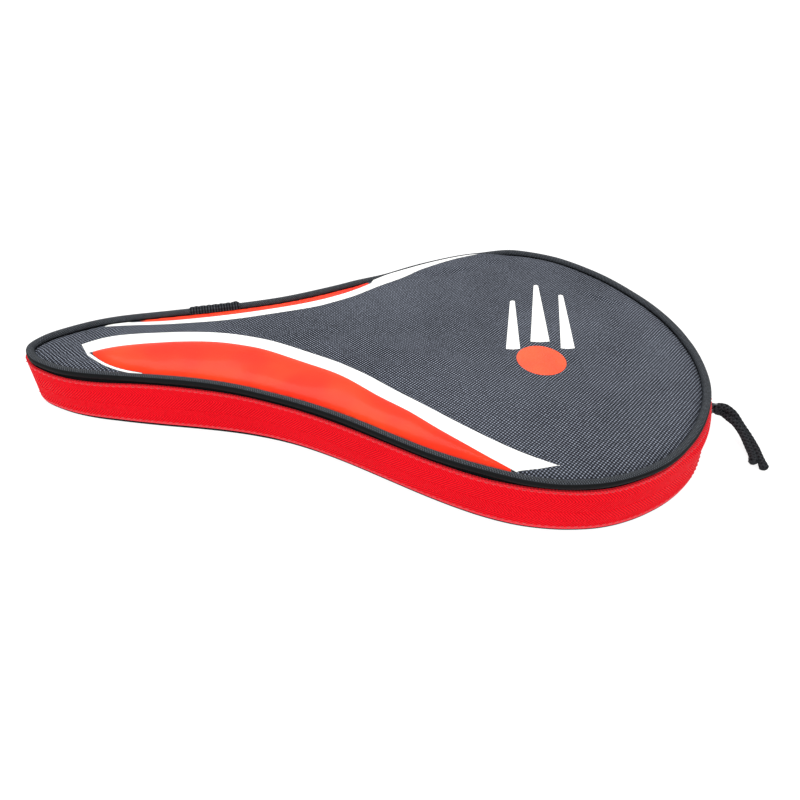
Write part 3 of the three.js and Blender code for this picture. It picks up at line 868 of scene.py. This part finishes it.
NEAR_OUTER = [
    [22.2, 0.2], [29.5, 4.6], [40.3, 7.4], [52, 8.6], [64, 8.8], [75, 8.3], [86, 6.8], [97.8, 3.6], [109.9, -1.2],
    [121.4, -7.2], [133.1, -14.4], [143.9, -22.4], [154.7, -31.0], [164.3, -39.3], [174.5, -48.4], [183.9, -56.8],
    [193.3, -64.6], [202.4, -71.5], [211, -77.2], [217.4, -81.0],
]
NEAR_INNER = [
    [26.9, -6.4], [32.2, -3.9], [42.4, -0.9], [52.9, 0.5], [67, 1.0], [81.2, 0.1], [92.6, -2.3], [104.5, -6.2],
    [116, -11.9], [127.5, -18.6], [138.4, -26.6], [149.2, -35.9], [163.7, -48.3], [173.4, -57.8], [182.5, -66.4],
    [191.5, -74.8], [201.1, -82.8],
]
NEAR_BORDER = [[27.2, -7.9], [35.1, -14.2], [44.7, -18.7], [53, -20.8]]
NEAR_BORDER_IN = [[28.4, -7.2], [35.7, -13.35], [45.0, -17.8], [53, -19.9]]
FAR_OUTER = [
    [27.4, 15.9], [44.5, 16.1], [62.3, 16.9], [80.1, 19.2], [95.5, 22.6], [104, 24.8], [119.5, 30.0], [132, 36.0],
    [143.5, 42.6], [156.9, 52.2], [167.9, 59.7], [179.5, 69.2], [191.5, 77.5], [203.7, 84.2], [214.9, 89.0],
]
FAR_INNER = [
    [39, 19.3], [55.6, 19.8], [67.3, 21.6], [79.1, 24.0], [91.1, 26.8], [103.4, 30.1], [116, 34.2], [128.8, 39.8],
    [142, 47.4], [152.4, 55.6],
]

near_in = curve(NEAR_INNER)
stripe_near = applique(
    "stripe_near_print",
    curve(NEAR_OUTER) + [[217.5, -80.6], [209.9, -81.9], [202.0, -82.4]] + near_in[::-1] + curve(NEAR_BORDER_IN) + curve(NEAR_BORDER)[::-1],
    0.9, 0.24, 0.10, 1.5)
finish_piece(stripe_near, "white", "front_half", "stripe", "stripe_near")

inner_low = [[x, y - 0.16] for x, y in near_in if 29.5 < x < 199.5]
inlay_near = applique(
    "inlay_near_panel",
    [[28.9, -5.9]] + inner_low + [[199.2, -82.2]] + edge_path(-2.15, 55, 198.5, -1)[::-1] + [[53.2, -20.6], [53.2, -19.75]]
    + curve([[45.1, -17.65], [35.9, -13.2], [29.4, -7.5]]),
    1.4, 0.30, 0.95, 3.2)
finish_piece(inlay_near, "orange", "front_half", "inlay", "inlay_near")

far_in = curve(FAR_INNER)
stripe_far = applique(
    "stripe_far_print",
    curve(FAR_OUTER) + edge_path(-1.35, 153, 212, 1)[::-1] + far_in[::-1] + edge_path(-2.15, 27.5, 37.5, 1)[::-1],
    0.9, 0.24, 0.10, 1.5)
finish_piece(stripe_far, "white", "front_half", "stripe", "stripe_far")

inlay_far = applique(
    "inlay_far_panel",
    [[x, y + 0.4] for x, y in far_in if 44.5 < x < 151.4] + [[151.3, 55.7]] + edge_path(-2.15, 44, 150.5, 1)[::-1] + [[42.4, 20.6]],
    1.7, 0.30, 0.75, 2.5)
finish_piece(inlay_far, "orange", "front_half", "inlay", "inlay_far")


def lean(x, y):
    return [x + 0.2 * (y + 17), y]


def streak(name, node, x0, x1, y0, y1):
    c = (x0 + x1) / 2
    poly = [lean(x0, y0), lean((x0 + x1) / 2, y0 - 0.5), lean(x1, y0), lean(c + 1.2, y1), lean(c, y1 + 0.7), lean(c - 1.2, y1)]
    ob = applique(name, poly, 1.4, 0.16, 0.04, 1.0)
    finish_piece(ob, "white", "front_half", "stripe", node)


streak("print_streak_a_layer", "print_streak_a", 210, 216.5, -8, 34)
streak("print_streak_b_layer", "print_streak_b", 221.5, 230.5, -2.5, 50)
streak("print_streak_c_layer", "print_streak_c", 235.5, 242, -8, 40)
ball = applique("print_ball_layer", [[226 + 11 * math.cos(a), -17 + 11 * math.sin(a)] for a in np.linspace(0, 2 * math.pi, 72, endpoint=False)], 1.4, 0.16, 0.04, 1.0)
finish_piece(ball, "print", "front_half", "print_orange", "print_ball")

# ------------------------------------------------------------------ foam and linings
def pad(name, line, offset, step, top, bottom, mat, body, slot, node, round_edge=1.6):
    p, faces, ed = triangulate(offset_outline(line, offset, 3.0), step)
    t, b = top(p), bottom(p)
    mid = (t + b) / 2
    r = np.sqrt(np.clip(1 - (1 - np.clip(ed / round_edge, 0, 1)) ** 2, 0.02, 1))
    ob = shell(name, p, faces, mid + (t - mid) * r, mid + (b - mid) * r)
    finish_piece(ob, mat, body, slot, node)
    return ob


def front_under(p):
    return np.minimum(height(p) - 1.0, 22.6)


foam_f = pad("front_foam_pad", top_line, -3.4, 4.0, front_under, lambda p: 20.25 + 0 * p[:, 0], "foam", "front_half", "foam", "front_foam")
foam_r = pad("rear_foam_pad", wall_low, -3.3, 4.0, lambda p: 3.55 + 0.12 * vnoise(p, 0.05, 5), lambda p: 1.5 + 0 * p[:, 0], "foam", "rear_half", "foam", "rear_foam")
lining_f = pad("front_lining_sheet", top_line, -2.7, 3.0, lambda p: 20.0 + 0.12 * vnoise(p, 0.05, 7), lambda p: 19.25 - 0.35 * smooth(from_edge(p), 4, 30) + 0.2 * vnoise(p, 0.035, 8), "lining", "front_half", "lining", "front_lining", 0.8)
lining_r = pad("rear_lining_sheet", wall_low, -3.1, 3.0, lambda p: 4.3 + 0.35 * smooth(from_edge(p), 4, 30) + 0.22 * vnoise(p, 0.035, 9), lambda p: 3.85 + 0 * p[:, 0], "lining", "rear_half", "lining", "rear_lining", 0.8)
cover_r = pad("rear_panel", wall_low, -1.6, 3.0, lambda p: 1.25 + 0 * p[:, 0], lambda p: 0.05 + 0.35 * np.exp(-np.maximum(from_edge(p) - 2.0, 0) / 1.5), "rear_canvas", "rear_half", "canvas", "rear_cover", 0.6)

# ------------------------------------------------------------------ piping
def pipe_rows(s, sides, radius, centre_z=PIPE_Z, start=0.0, stop=2 * math.pi, closed=True):
    th = np.linspace(start, stop, sides, endpoint=not closed)
    return th


def make_piping():
    n_rib = int(round(LENGTH / 0.95))
    n = n_rib * 8
    sides = 18
    n = min(n, int(98000 / sides))
    s = np.arange(n) * LENGTH / n
    th = np.arange(sides) * 2 * math.pi / sides
    ss, hh = np.meshgrid(s, th, indexing="ij")
    rib = 0.5 + 0.5 * np.cos(2 * math.pi * (ss * n_rib / LENGTH) - 11 * hh)
    slow = 0.05 * np.sin(ss * 0.21 + 1) + 0.04 * np.sin(ss * 0.083)
    r = PIPE_R - 0.08 + 0.10 * rib + slow * 0.5
    p, nrm = contour(s)
    p = p + nrm * top_line(s)[:, None]
    wz = 0.10 * np.sin(s * 0.045 + 0.7) + 0.06 * np.sin(s * 0.11)
    rows = np.empty((n, sides, 3))
    rows[..., :2] = p[:, None] + nrm[:, None] * (r * np.cos(hh))[..., None]
    rows[..., 2] = PIPE_Z + wz[:, None] - 1.5 * far_sag(s)[:, None] + r * np.sin(hh)
    uv = np.empty((n + 1, sides + 1, 2))
    uv[..., 0] = (np.arange(n + 1) * LENGTH / n / 1000)[:, None]
    uv[..., 1] = (np.arange(sides + 1) / sides)[None]
    ob = sweep("front_piping_cord", rows, True, uv=uv)
    rib_attribute(ob, rib)
    finish_piece(ob, "piping", "front_half", "piping", "front_piping")


make_piping()


def contour_s_at(x, side):
    s = np.arange(0, LENGTH, 0.25)
    p, _ = contour(s)
    k = (np.sign(p[:, 1]) == side)
    i = np.argmin(np.abs(p[k, 0] - x) + (p[k, 0] > 260) * 100)
    return s[k][i]


def make_join():
    s0, s1 = sorted((contour_s_at(64, 1), contour_s_at(87.5, 1)))
    s = np.arange(s0, s1, 0.35)
    k = 30
    th = np.linspace(48, 190, k) * RAD
    ss, hh = np.meshgrid(s, th, indexing="ij")
    end = np.minimum(smooth(ss, s0, s0 + 1.2), 1 - smooth(ss, s1 - 1.2, s1))
    wrap = 0.10 * np.cos(2 * math.pi * (ss - s0) / 1.9 + 1.2 * hh)
    nub = 0.35 * np.exp(-((ss - s0 - 1.6) / 1.0) ** 2)
    outer = PIPE_R + 0.38 + (0.42 + 0.45 * wrap + nub + 0.10 * np.sin(ss * 2.1 + 3 * hh)) * end
    inner = np.full_like(outer, PIPE_R + 0.12)
    p, nrm = contour(s)
    p = p + nrm * top_line(s)[:, None]

    def ring(r):
        out = np.empty(r.shape + (3,))
        out[..., :2] = p[:, None] + nrm[:, None] * (r * np.cos(hh))[..., None]
        out[..., 2] = PIPE_Z + r * np.sin(hh)
        return out

    rows = np.concatenate([ring(outer), ring(inner)[:, ::-1]], 1)
    m2 = rows.shape[1]
    uv = np.empty((len(s), m2 + 1, 2))
    uv[..., 0] = (s / 1000)[:, None]
    uv[..., 1] = (np.r_[np.arange(k), np.arange(k)[::-1], 0] * 0.00022)[None]
    ob = sweep("piping_join_sleeve", rows, False, uv=uv, flat_angle=55)
    finish_piece(ob, "sleeve", "front_half", "webbing", "piping_join")


make_join()


# ------------------------------------------------------------------ gusset: zip tapes, coil, bindings, hinge
def tape_outer(s, z):
    """Offset of the gusset's outer face at height z."""
    f = fullness(s)[:, None]
    z = np.asarray(z, float)
    z = z if z.ndim == 2 else z[None]
    low, top, c = wall_low(s)[:, None], wall_top(s)[:, None], curl(s)[:, None]
    t = np.clip((z - 0.8) / 19.6, 0, 1)
    bow = 0.40 * np.sin(np.pi * t) + 0.12 * np.sin(s * 0.06 + 0.5)[:, None] * np.sin(np.pi * t)
    o = low * (1 - t) + top * t - 0.12 + f * bow
    full = low + (top - low) * np.clip((z - 16.2) / 4.4, 0, 1) ** 1.7 - 0.05
    o = o * (1 - c) + full * c
    return o + 0.9 * flare(s)[:, None] * smooth(z, 8.5, 2.0)


def tape_section(z_out, fold_low):
    """Closed section of one tape: outer face, a soft fold at the zip line, inner face."""
    base = np.array(z_out, float)

    def section(s):
        n = len(s)
        z = np.broadcast_to(base, (n, len(base)))
        out = tape_outer(s, z)
        fold = np.array([0.0, -0.15, -0.45, -0.8])
        zf = (base[-1] + np.array([-0.22, -0.36, -0.34, -0.1])) if fold_low else (base[-1] + np.array([0.22, 0.36, 0.34, 0.1]))
        o2 = tape_outer(s, zf) + fold[None] - 0.06
        zi = z[:, ::-1][:, 1::2]
        o3 = tape_outer(s, zi) - 0.95
        o = np.concatenate([out, o2, o3], 1)
        zz = np.concatenate([z, np.broadcast_to(zf, (n, 4)), zi], 1)
        return np.stack([o, zz], 2)

    return section


def make_tape(name, node, z_out, fold_low, body, mat):
    s = np.linspace(arc_s(13.9), LENGTH - arc_s(13.9), 560)
    rows = strip_rows(s, tape_section(z_out, fold_low))
    k = rows.shape[1]
    uv = np.empty((len(s), k + 1, 2))
    uv[..., 0] = (s / 1000)[:, None]
    zz = rows[0, :, 2] / 1000
    uv[..., 1] = np.r_[zz, zz[0]][None]
    ob = sweep(name, rows, False, uv=uv, flat_angle=60)
    finish_piece(ob, mat, body, "zip_tape", node)
    return ob


make_tape("zip_tape_upper_cloth", "zip_tape_upper", np.r_[np.linspace(20.0, 10.7, 17), 10.3], True, "front_half", "tape_up")
make_tape("zip_tape_lower_cloth", "zip_tape_lower", np.r_[np.linspace(1.0, 9.3, 14), 9.7], False, "rear_half", "tape_low")


def make_coil(name, node, body, low):
    s0, s1 = arc_s(15.4), LENGTH - arc_s(15.4)
    pitch, per = 1.45, 12
    turns = int((s1 - s0) / pitch)
    n = turns * per
    t = np.arange(n + 1) / per
    ph = 2 * math.pi * t
    s = s0 + t * pitch + (0 if low else pitch / 2) + 0.30 * np.cos(ph)
    z0, rz = (8.6, 1.45) if low else (11.4, 1.45)
    p, nrm = contour(s)
    z = z0 + rz * np.sin(ph)
    off = tape_outer(s, z[:, None])[:, 0] - 2.45 + 0.72 * np.cos(ph)
    c = np.c_[p + nrm * off[:, None], z]
    d = np.gradient(c, axis=0)
    d /= np.linalg.norm(d, axis=1)[:, None]
    axis = np.c_[np.stack([-nrm[:, 1], nrm[:, 0]], 1), np.zeros(len(c))]
    a = axis - d * np.einsum("ij,ij->i", axis, d)[:, None]
    a /= np.linalg.norm(a, axis=1)[:, None]
    b = np.cross(d, a)
    th = np.arange(6) * math.pi / 3
    rows = c[:, None] + 0.30 * (a[:, None] * np.cos(th)[None, :, None] + b[:, None] * np.sin(th)[None, :, None])
    ob = sweep(name, rows, False)
    finish_piece(ob, "coil", body, "zip_coil", node)


make_coil("zip_coil_lower_teeth", "zip_coil_lower", "rear_half", True)
make_coil("zip_coil_upper_teeth", "zip_coil_upper", "front_half", False)


def ribbon(name, node, s, section, mat, body, slot, closed, flat=60):
    rows = strip_rows(s, section)
    k = rows.shape[1]
    n = len(s)
    uv = np.empty((n + int(closed), k + 1, 2))
    run = np.arange(n + int(closed)) * (LENGTH / n if closed else (s[1] - s[0])) / 1000
    uv[..., 0] = run[:, None]
    step = np.r_[0, np.cumsum(np.linalg.norm(np.diff(np.vstack([section(s[:1])[0], section(s[:1])[0][:1]]), axis=0), axis=1))] / 1000
    uv[..., 1] = step[None]
    ob = sweep(name, rows, closed, uv=uv, flat_angle=flat)
    finish_piece(ob, mat, body, slot, *([node] if isinstance(node, str) else node))
    return ob


def rounded(o0, o1, z0, z1, r=0.4, mid=4):
    """Rounded rectangle section (offset, z)."""
    pts = []
    for cx, cz, a in ((o1 - r, z0 + r, -90), (o1 - r, z1 - r, 0), (o0 + r, z1 - r, 90), (o0 + r, z0 + r, 180)):
        for k in range(mid):
            t = (a + 90 * k / (mid - 1)) * RAD
            pts.append([cx + r * math.cos(t), cz + r * math.sin(t)])
    return np.array(pts)


def around(section, line):
    """The fixed section carried along a line."""
    def f(s):
        sec = np.broadcast_to(section, (len(s),) + section.shape).copy()
        sec[..., 0] += line(s)[:, None]
        return sec
    return f


ring_s = np.arange(0, LENGTH, LENGTH / 620)
ribbon("rear_edge_binding_tape", "rear_edge_binding", ring_s, around(rounded(-1.75, 0.0, 0.0, 1.15, 0.45, 5), lambda s: wall_low(s) - 0.25 + 0.9 * flare(s) + 0.35 * smooth(s, LENGTH / 2 + 20, LENGTH / 2 + 45) * smooth(s, LENGTH / 2 + 150, LENGTH / 2 + 110)), "binding", "rear_half", "webbing", True)
ribbon("seam_binding_lower_tape", "seam_binding_lower", ring_s, around(rounded(-2.75, -1.55, 1.6, 6.0, 0.35), wall_low), "webbing", "rear_half", "webbing", True)
ribbon("seam_binding_upper_tape", "seam_binding_upper", ring_s, around(rounded(-2.75, -1.55, 14.6, 18.3, 0.35), lambda s: 0.25 * wall_low(s) + 0.75 * wall_top(s)), "webbing", "front_half", "webbing", True)


def flange_section(s):
    """The piping's sewn-in flange: closes the lid's edge between the top of the gusset and the piping."""
    t = tape_outer(s, [20.0])[:, 0]
    p = top_line(s)
    zc = 21.7 - 1.5 * far_sag(s)
    zm = np.minimum(20.2, zc - 0.5)
    low = np.full(len(s), 18.9)
    o = np.stack([t - 1.3, t - 1.3, p + 0.5, p - 0.3, t - 1.8, t - 1.8], 1)
    z = np.stack([low, zm, zc, zc, zm - 0.2, low], 1)
    return np.stack([o, z], 2)


ribbon("piping_flange", [], ring_s, flange_section, "binding", "front_half", "webbing", True)


def hinge_section(s):
    z = np.linspace(1.0, 20.0, 29)
    w = wave(s)
    o = 4.98 - 1.7 * np.clip((z - 16.2) / 4.4, 0, 1) ** 1.7
    outer = np.c_[o, z]
    inner = np.c_[o - 1.25, z][::-1]
    base = np.vstack([outer, inner])
    sec = np.broadcast_to(base, (len(s),) + base.shape).copy()
    edge = smooth(np.abs(w), arc_s(11.8), arc_s(13.5))
    sec[:, :len(z), 0] -= 0.30 * edge[:, None]
    return sec


hinge_s = np.linspace(-arc_s(13.5), arc_s(13.5), 44)
rows = strip_rows(hinge_s, hinge_section)
uv = np.empty((len(hinge_s), rows.shape[1] + 1, 2))
uv[..., 0] = ((hinge_s - hinge_s[0]) / 1000)[:, None]
zz = rows[0, :, 2] / 1000
uv[..., 1] = np.r_[zz, zz[0]][None]
hinge = sweep("hinge_fabric", rows, False, uv=uv, flat_angle=60)
hinge.data.materials.append(MAT["webbing"])
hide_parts("hinge_strip_lower", "hinge_strip_upper")
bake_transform(hinge)


def stitches(name, s, offset, z, pitch, length, radius, mat, body, slot, share=1.0):
    """A row of short thread stitches along the contour."""
    n = int((s[1] - s[0]) / pitch)
    c = s[0] + (np.arange(n) + 0.5) * pitch
    p, nrm = contour(c)
    off = offset(c)
    zs = z(c) if callable(z) else np.full(n, float(z))
    verts, faces = [], []
    rings, sides = 5, 6
    for i in range(n):
        t = np.array([-nrm[i, 1], nrm[i, 0], 0.0])
        o = np.array([nrm[i, 0], nrm[i, 1], 0.0])
        u = np.array([0, 0, 1.0])
        tilt = t * 0.97 + u * 0.12
        mid = np.array([p[i, 0], p[i, 1], zs[i]]) + o * off[i]
        base = len(verts)
        for k in range(rings):
            q = -1 + 2 * k / (rings - 1)
            rr = radius * math.sqrt(max(0.05, 1 - q * q))
            cen = mid + tilt * (q * length / 2) - o * (0.16 * q * q)
            for j in range(sides):
                a = 2 * math.pi * j / sides
                verts.append(cen + u * (rr * math.cos(a)) + o * (rr * math.sin(a)))
        for k in range(rings - 1):
            for j in range(sides):
                a, b = base + k * sides + j, base + k * sides + (j + 1) % sides
                faces.append([a, b, b + sides, a + sides])
        faces.append([base + j for j in range(sides)][::-1])
        faces.append([base + (rings - 1) * sides + j for j in range(sides)])
    ob = new_object(name, np.array(verts), faces)
    finish_piece(ob, mat, body, slot)
    return ob


stitches("upper_seam_stitches", (arc_s(14.2), LENGTH - arc_s(14.2)), lambda s: tape_outer(s, [19.2])[:, 0] + 0.10, 19.2, 2.7, 1.9, 0.26, "thread", "front_half", "zip_tape")
stitches("lower_seam_stitches", (arc_s(14.2), LENGTH - arc_s(14.2)), lambda s: tape_outer(s, [2.35])[:, 0] + 0.06, 2.35, 2.7, 1.9, 0.22, "thread", "rear_half", "zip_tape")
stitches("binding_stitches_lower", (0, LENGTH), lambda s: wall_low(s) - 2.8, 5.2, 3.0, 2.0, 0.22, "dark_thread", "rear_half", "webbing")
stitches("binding_stitches_upper", (0, LENGTH), lambda s: 0.25 * wall_low(s) + 0.75 * wall_top(s) - 2.8, 15.6, 3.0, 2.0, 0.22, "dark_thread", "front_half", "webbing")


# ------------------------------------------------------------------ slider, puller and stops
def head_point(deg, d, z):
    return [200 + (100 + d) * math.cos(deg * RAD), (100 + d) * math.sin(deg * RAD), z]


def plate(name, outline, d0, d1, bevel):
    """A plate on the head arc: outline in (mm along the arc from the slider's middle, z)."""
    o = np.array(outline, float)
    n = len(o)
    verts = [head_point(SLIDER_ANGLE + x / 100 / RAD, d, z) for d in (d0, d1) for x, z in o]
    faces = [list(range(n))[::-1], [n + i for i in range(n)]] + [[i, (i + 1) % n, n + (i + 1) % n, n + i] for i in range(n)]
    ob = new_object(name, np.array(verts), faces)
    mod = ob.modifiers.new("bevel", "BEVEL")
    mod.width, mod.segments, mod.limit_method, mod.angle_limit = bevel / 1000, 3, "ANGLE", 50 * RAD
    return ob


def apply_modifiers(ob):
    dg = bpy.context.evaluated_depsgraph_get()
    me = bpy.data.meshes.new_from_object(ob.evaluated_get(dg))
    ob.modifiers.clear()
    ob.data = me


def join(name, obs):
    bm = bmesh.new()
    for o in obs:
        apply_modifiers(o)
        bm.from_mesh(o.data)
    me = bpy.data.meshes.new(name)
    bm.to_mesh(me)
    bm.free()
    for o in obs:
        bpy.data.objects.remove(o)
    ob = bpy.data.objects.new(name, me)
    scene.collection.objects.link(ob)
    me.polygons.foreach_set("use_smooth", [True] * len(me.polygons))
    me.set_sharp_from_angle(angle=40 * RAD)
    return ob


def heart(w0, w1, h0, h1, k=7):
    """Slider plate outline: wide at the mouth end, narrower at the other, with round corners."""
    pts = []
    for cx, cz, r, a0 in ((w1 - 1.2, h1 - 1.2, 1.2, 0), (-w0 + 1.8, h0 - 1.8, 1.8, 90), (-w0 + 1.8, -h0 + 1.8, 1.8, 180), (w1 - 1.2, -h1 + 1.2, 1.2, 270)):
        for i in range(k):
            a = (a0 + 90 * i / (k - 1)) * RAD
            pts.append([cx + r * math.cos(a), ZIP_Z + cz + r * math.sin(a)])
    return pts


def make_slider():
    parts = [
        plate("s1", heart(5.4, 5.5, 3.25, 2.7), 5.0, 5.85, 0.22),
        plate("s2", heart(5.4, 5.5, 3.25, 2.7), 0.1, 0.85, 0.22),
        plate("s3", [[-2, ZIP_Z - 0.4], [2, ZIP_Z - 0.4], [2, ZIP_Z + 0.4], [-2, ZIP_Z + 0.4]], 0.5, 5.5, 0.1),
    ]
    # flanges that hold the coil, on the inner plate
    for zz in (-2.75, 2.75):
        parts.append(plate("f", [[-4.4, ZIP_Z + zz - 0.3], [4.4, ZIP_Z + zz - 0.3], [4.4, ZIP_Z + zz + 0.3], [-4.4, ZIP_Z + zz + 0.3]], 0.7, 1.3, 0.12))
    # crown: a flat arch along the slider
    path = [(-3.4, 5.7), (-3.35, 6.6), (-3.0, 7.5), (-2.2, 8.0), (-1.0, 8.15), (0, 8.18), (1.0, 8.15), (2.2, 8.0), (3.0, 7.5), (3.35, 6.6), (3.4, 5.7)]
    ln, f = spline(path, False)
    c = f(np.linspace(0, ln, 34))
    d = np.gradient(c, axis=0)
    d /= np.linalg.norm(d, axis=1)[:, None]
    nn = np.stack([-d[:, 1], d[:, 0]], 1)
    sec = rounded(-0.36, 0.36, -1.0, 1.0, 0.25, 4)
    rows = np.empty((len(c), len(sec), 3))
    for i in range(len(c)):
        for j, (a, z) in enumerate(sec):
            x, r = c[i] + nn[i] * a
            rows[i, j] = head_point(SLIDER_ANGLE + x / 100 / RAD, r, ZIP_Z + z)
    parts.append(sweep("crown", rows, False))
    ob = join("zip_slider_body", parts)
    finish_piece(ob, "metal", "slider", "metal", "zip_slider")


make_slider()


def make_puller():
    dirv = np.array([math.cos(SLIDER_ANGLE * RAD), math.sin(SLIDER_ANGLE * RAD), 0])
    base = np.array(head_point(SLIDER_ANGLE, 6.73, ZIP_Z))
    half, L, r = 2.15, 5.2, 0.85
    pts = []
    for cx, cz, a0 in ((L - r, half - r, 0), (r, half - r, 90), (r, -half + r, 180), (L - r, -half + r, 270)):
        for k in range(8):
            a = (a0 + 90 * k / 7) * RAD
            pts.append([cx + r * math.cos(a), cz + r * math.sin(a)])
    p = resample(pts, 0.5)
    n = len(p)
    d = np.roll(p, -1, 0) - np.roll(p, 1, 0)
    d /= np.linalg.norm(d, axis=1)[:, None]
    nn = np.stack([d[:, 1], -d[:, 0]], 1)
    side = np.cross(dirv, [0, 0, 1.0])
    th = np.arange(14) * 2 * math.pi / 14
    rows = np.empty((n, 14, 3))
    for i in range(n):
        for j, t in enumerate(th):
            q = p[i] + nn[i] * 0.5 * math.cos(t)
            rows[i, j] = base + dirv * q[0] + np.array([0, 0, 1.0]) * q[1] + side * 0.5 * math.sin(t)
    ob = sweep("zip_puller_wire", rows, True)
    finish_piece(ob, "metal", "puller", "metal", "zip_puller")


make_puller()


def make_stop(name, node, mid):
    s = np.linspace(arc_s(mid - 0.42), arc_s(mid + 0.42), 8)
    sec = rounded(1.4, 3.3, 7.1, 9.4, 0.45, 5)
    e = np.array([0.75, 0.95, 1, 1, 1, 1, 0.95, 0.75])
    c = sec.mean(0)

    def section(ss):
        return np.stack([c + (sec - c) * k for k in e])

    ob = sweep(name, strip_rows(s, section), False, flat_angle=50)
    finish_piece(ob, "metal", "rear_half", "metal", node)


make_stop("zip_top_stop_clip", "zip_top_stop", -14.55)
make_stop("zip_bottom_stop_clip", "zip_bottom_stop", 14.55)

# ------------------------------------------------------------------ floor and light
floor_me = bpy.data.meshes.new("floor")
floor_me.from_pydata([(-4, -4, 0), (4, -4, 0), (4, 4, 0), (-4, 4, 0)], [], [(0, 1, 2, 3)])
floor = bpy.data.objects.new("floor", floor_me)
floor.location.z = -0.0002
scene.collection.objects.link(floor)
g = Mat("floor_paint", 0.9, Specular_IOR_Level=0.1)
g.colour((0.25, 0.25, 0.25))
g.b.inputs["Emission Color"].default_value = (1, 1, 1, 1)
g.b.inputs["Emission Strength"].default_value = 0.84
floor_me.materials.append(g.m)

world = bpy.data.worlds.new("studio")
world.use_nodes = True
world.node_tree.nodes["Background"].inputs[0].default_value = (1, 1, 1, 1)
world.node_tree.nodes["Background"].inputs[1].default_value = 1.0
scene.world = world


def area(name, at, to, size, power, size_y=None):
    d = bpy.data.lights.new(name, "AREA")
    d.energy = power
    d.size = size
    if size_y:
        d.shape, d.size_y = "RECTANGLE", size_y
    o = bpy.data.objects.new(name, d)
    o.location = at
    o.rotation_mode = "QUATERNION"
    o.rotation_quaternion = (Vector(to) - Vector(at)).to_track_quat("-Z", "Y")
    scene.collection.objects.link(o)


area("softbox_top", (-0.15, 0.55, 1.0), (0, 0, 0), 0.9, 6.0, 0.6)
area("softbox_front", (-0.2, -1.0, 0.7), (0, 0, 0.01), 0.9, 4.0)

# ------------------------------------------------------------------ update the view layer
bpy.context.view_layer.update()
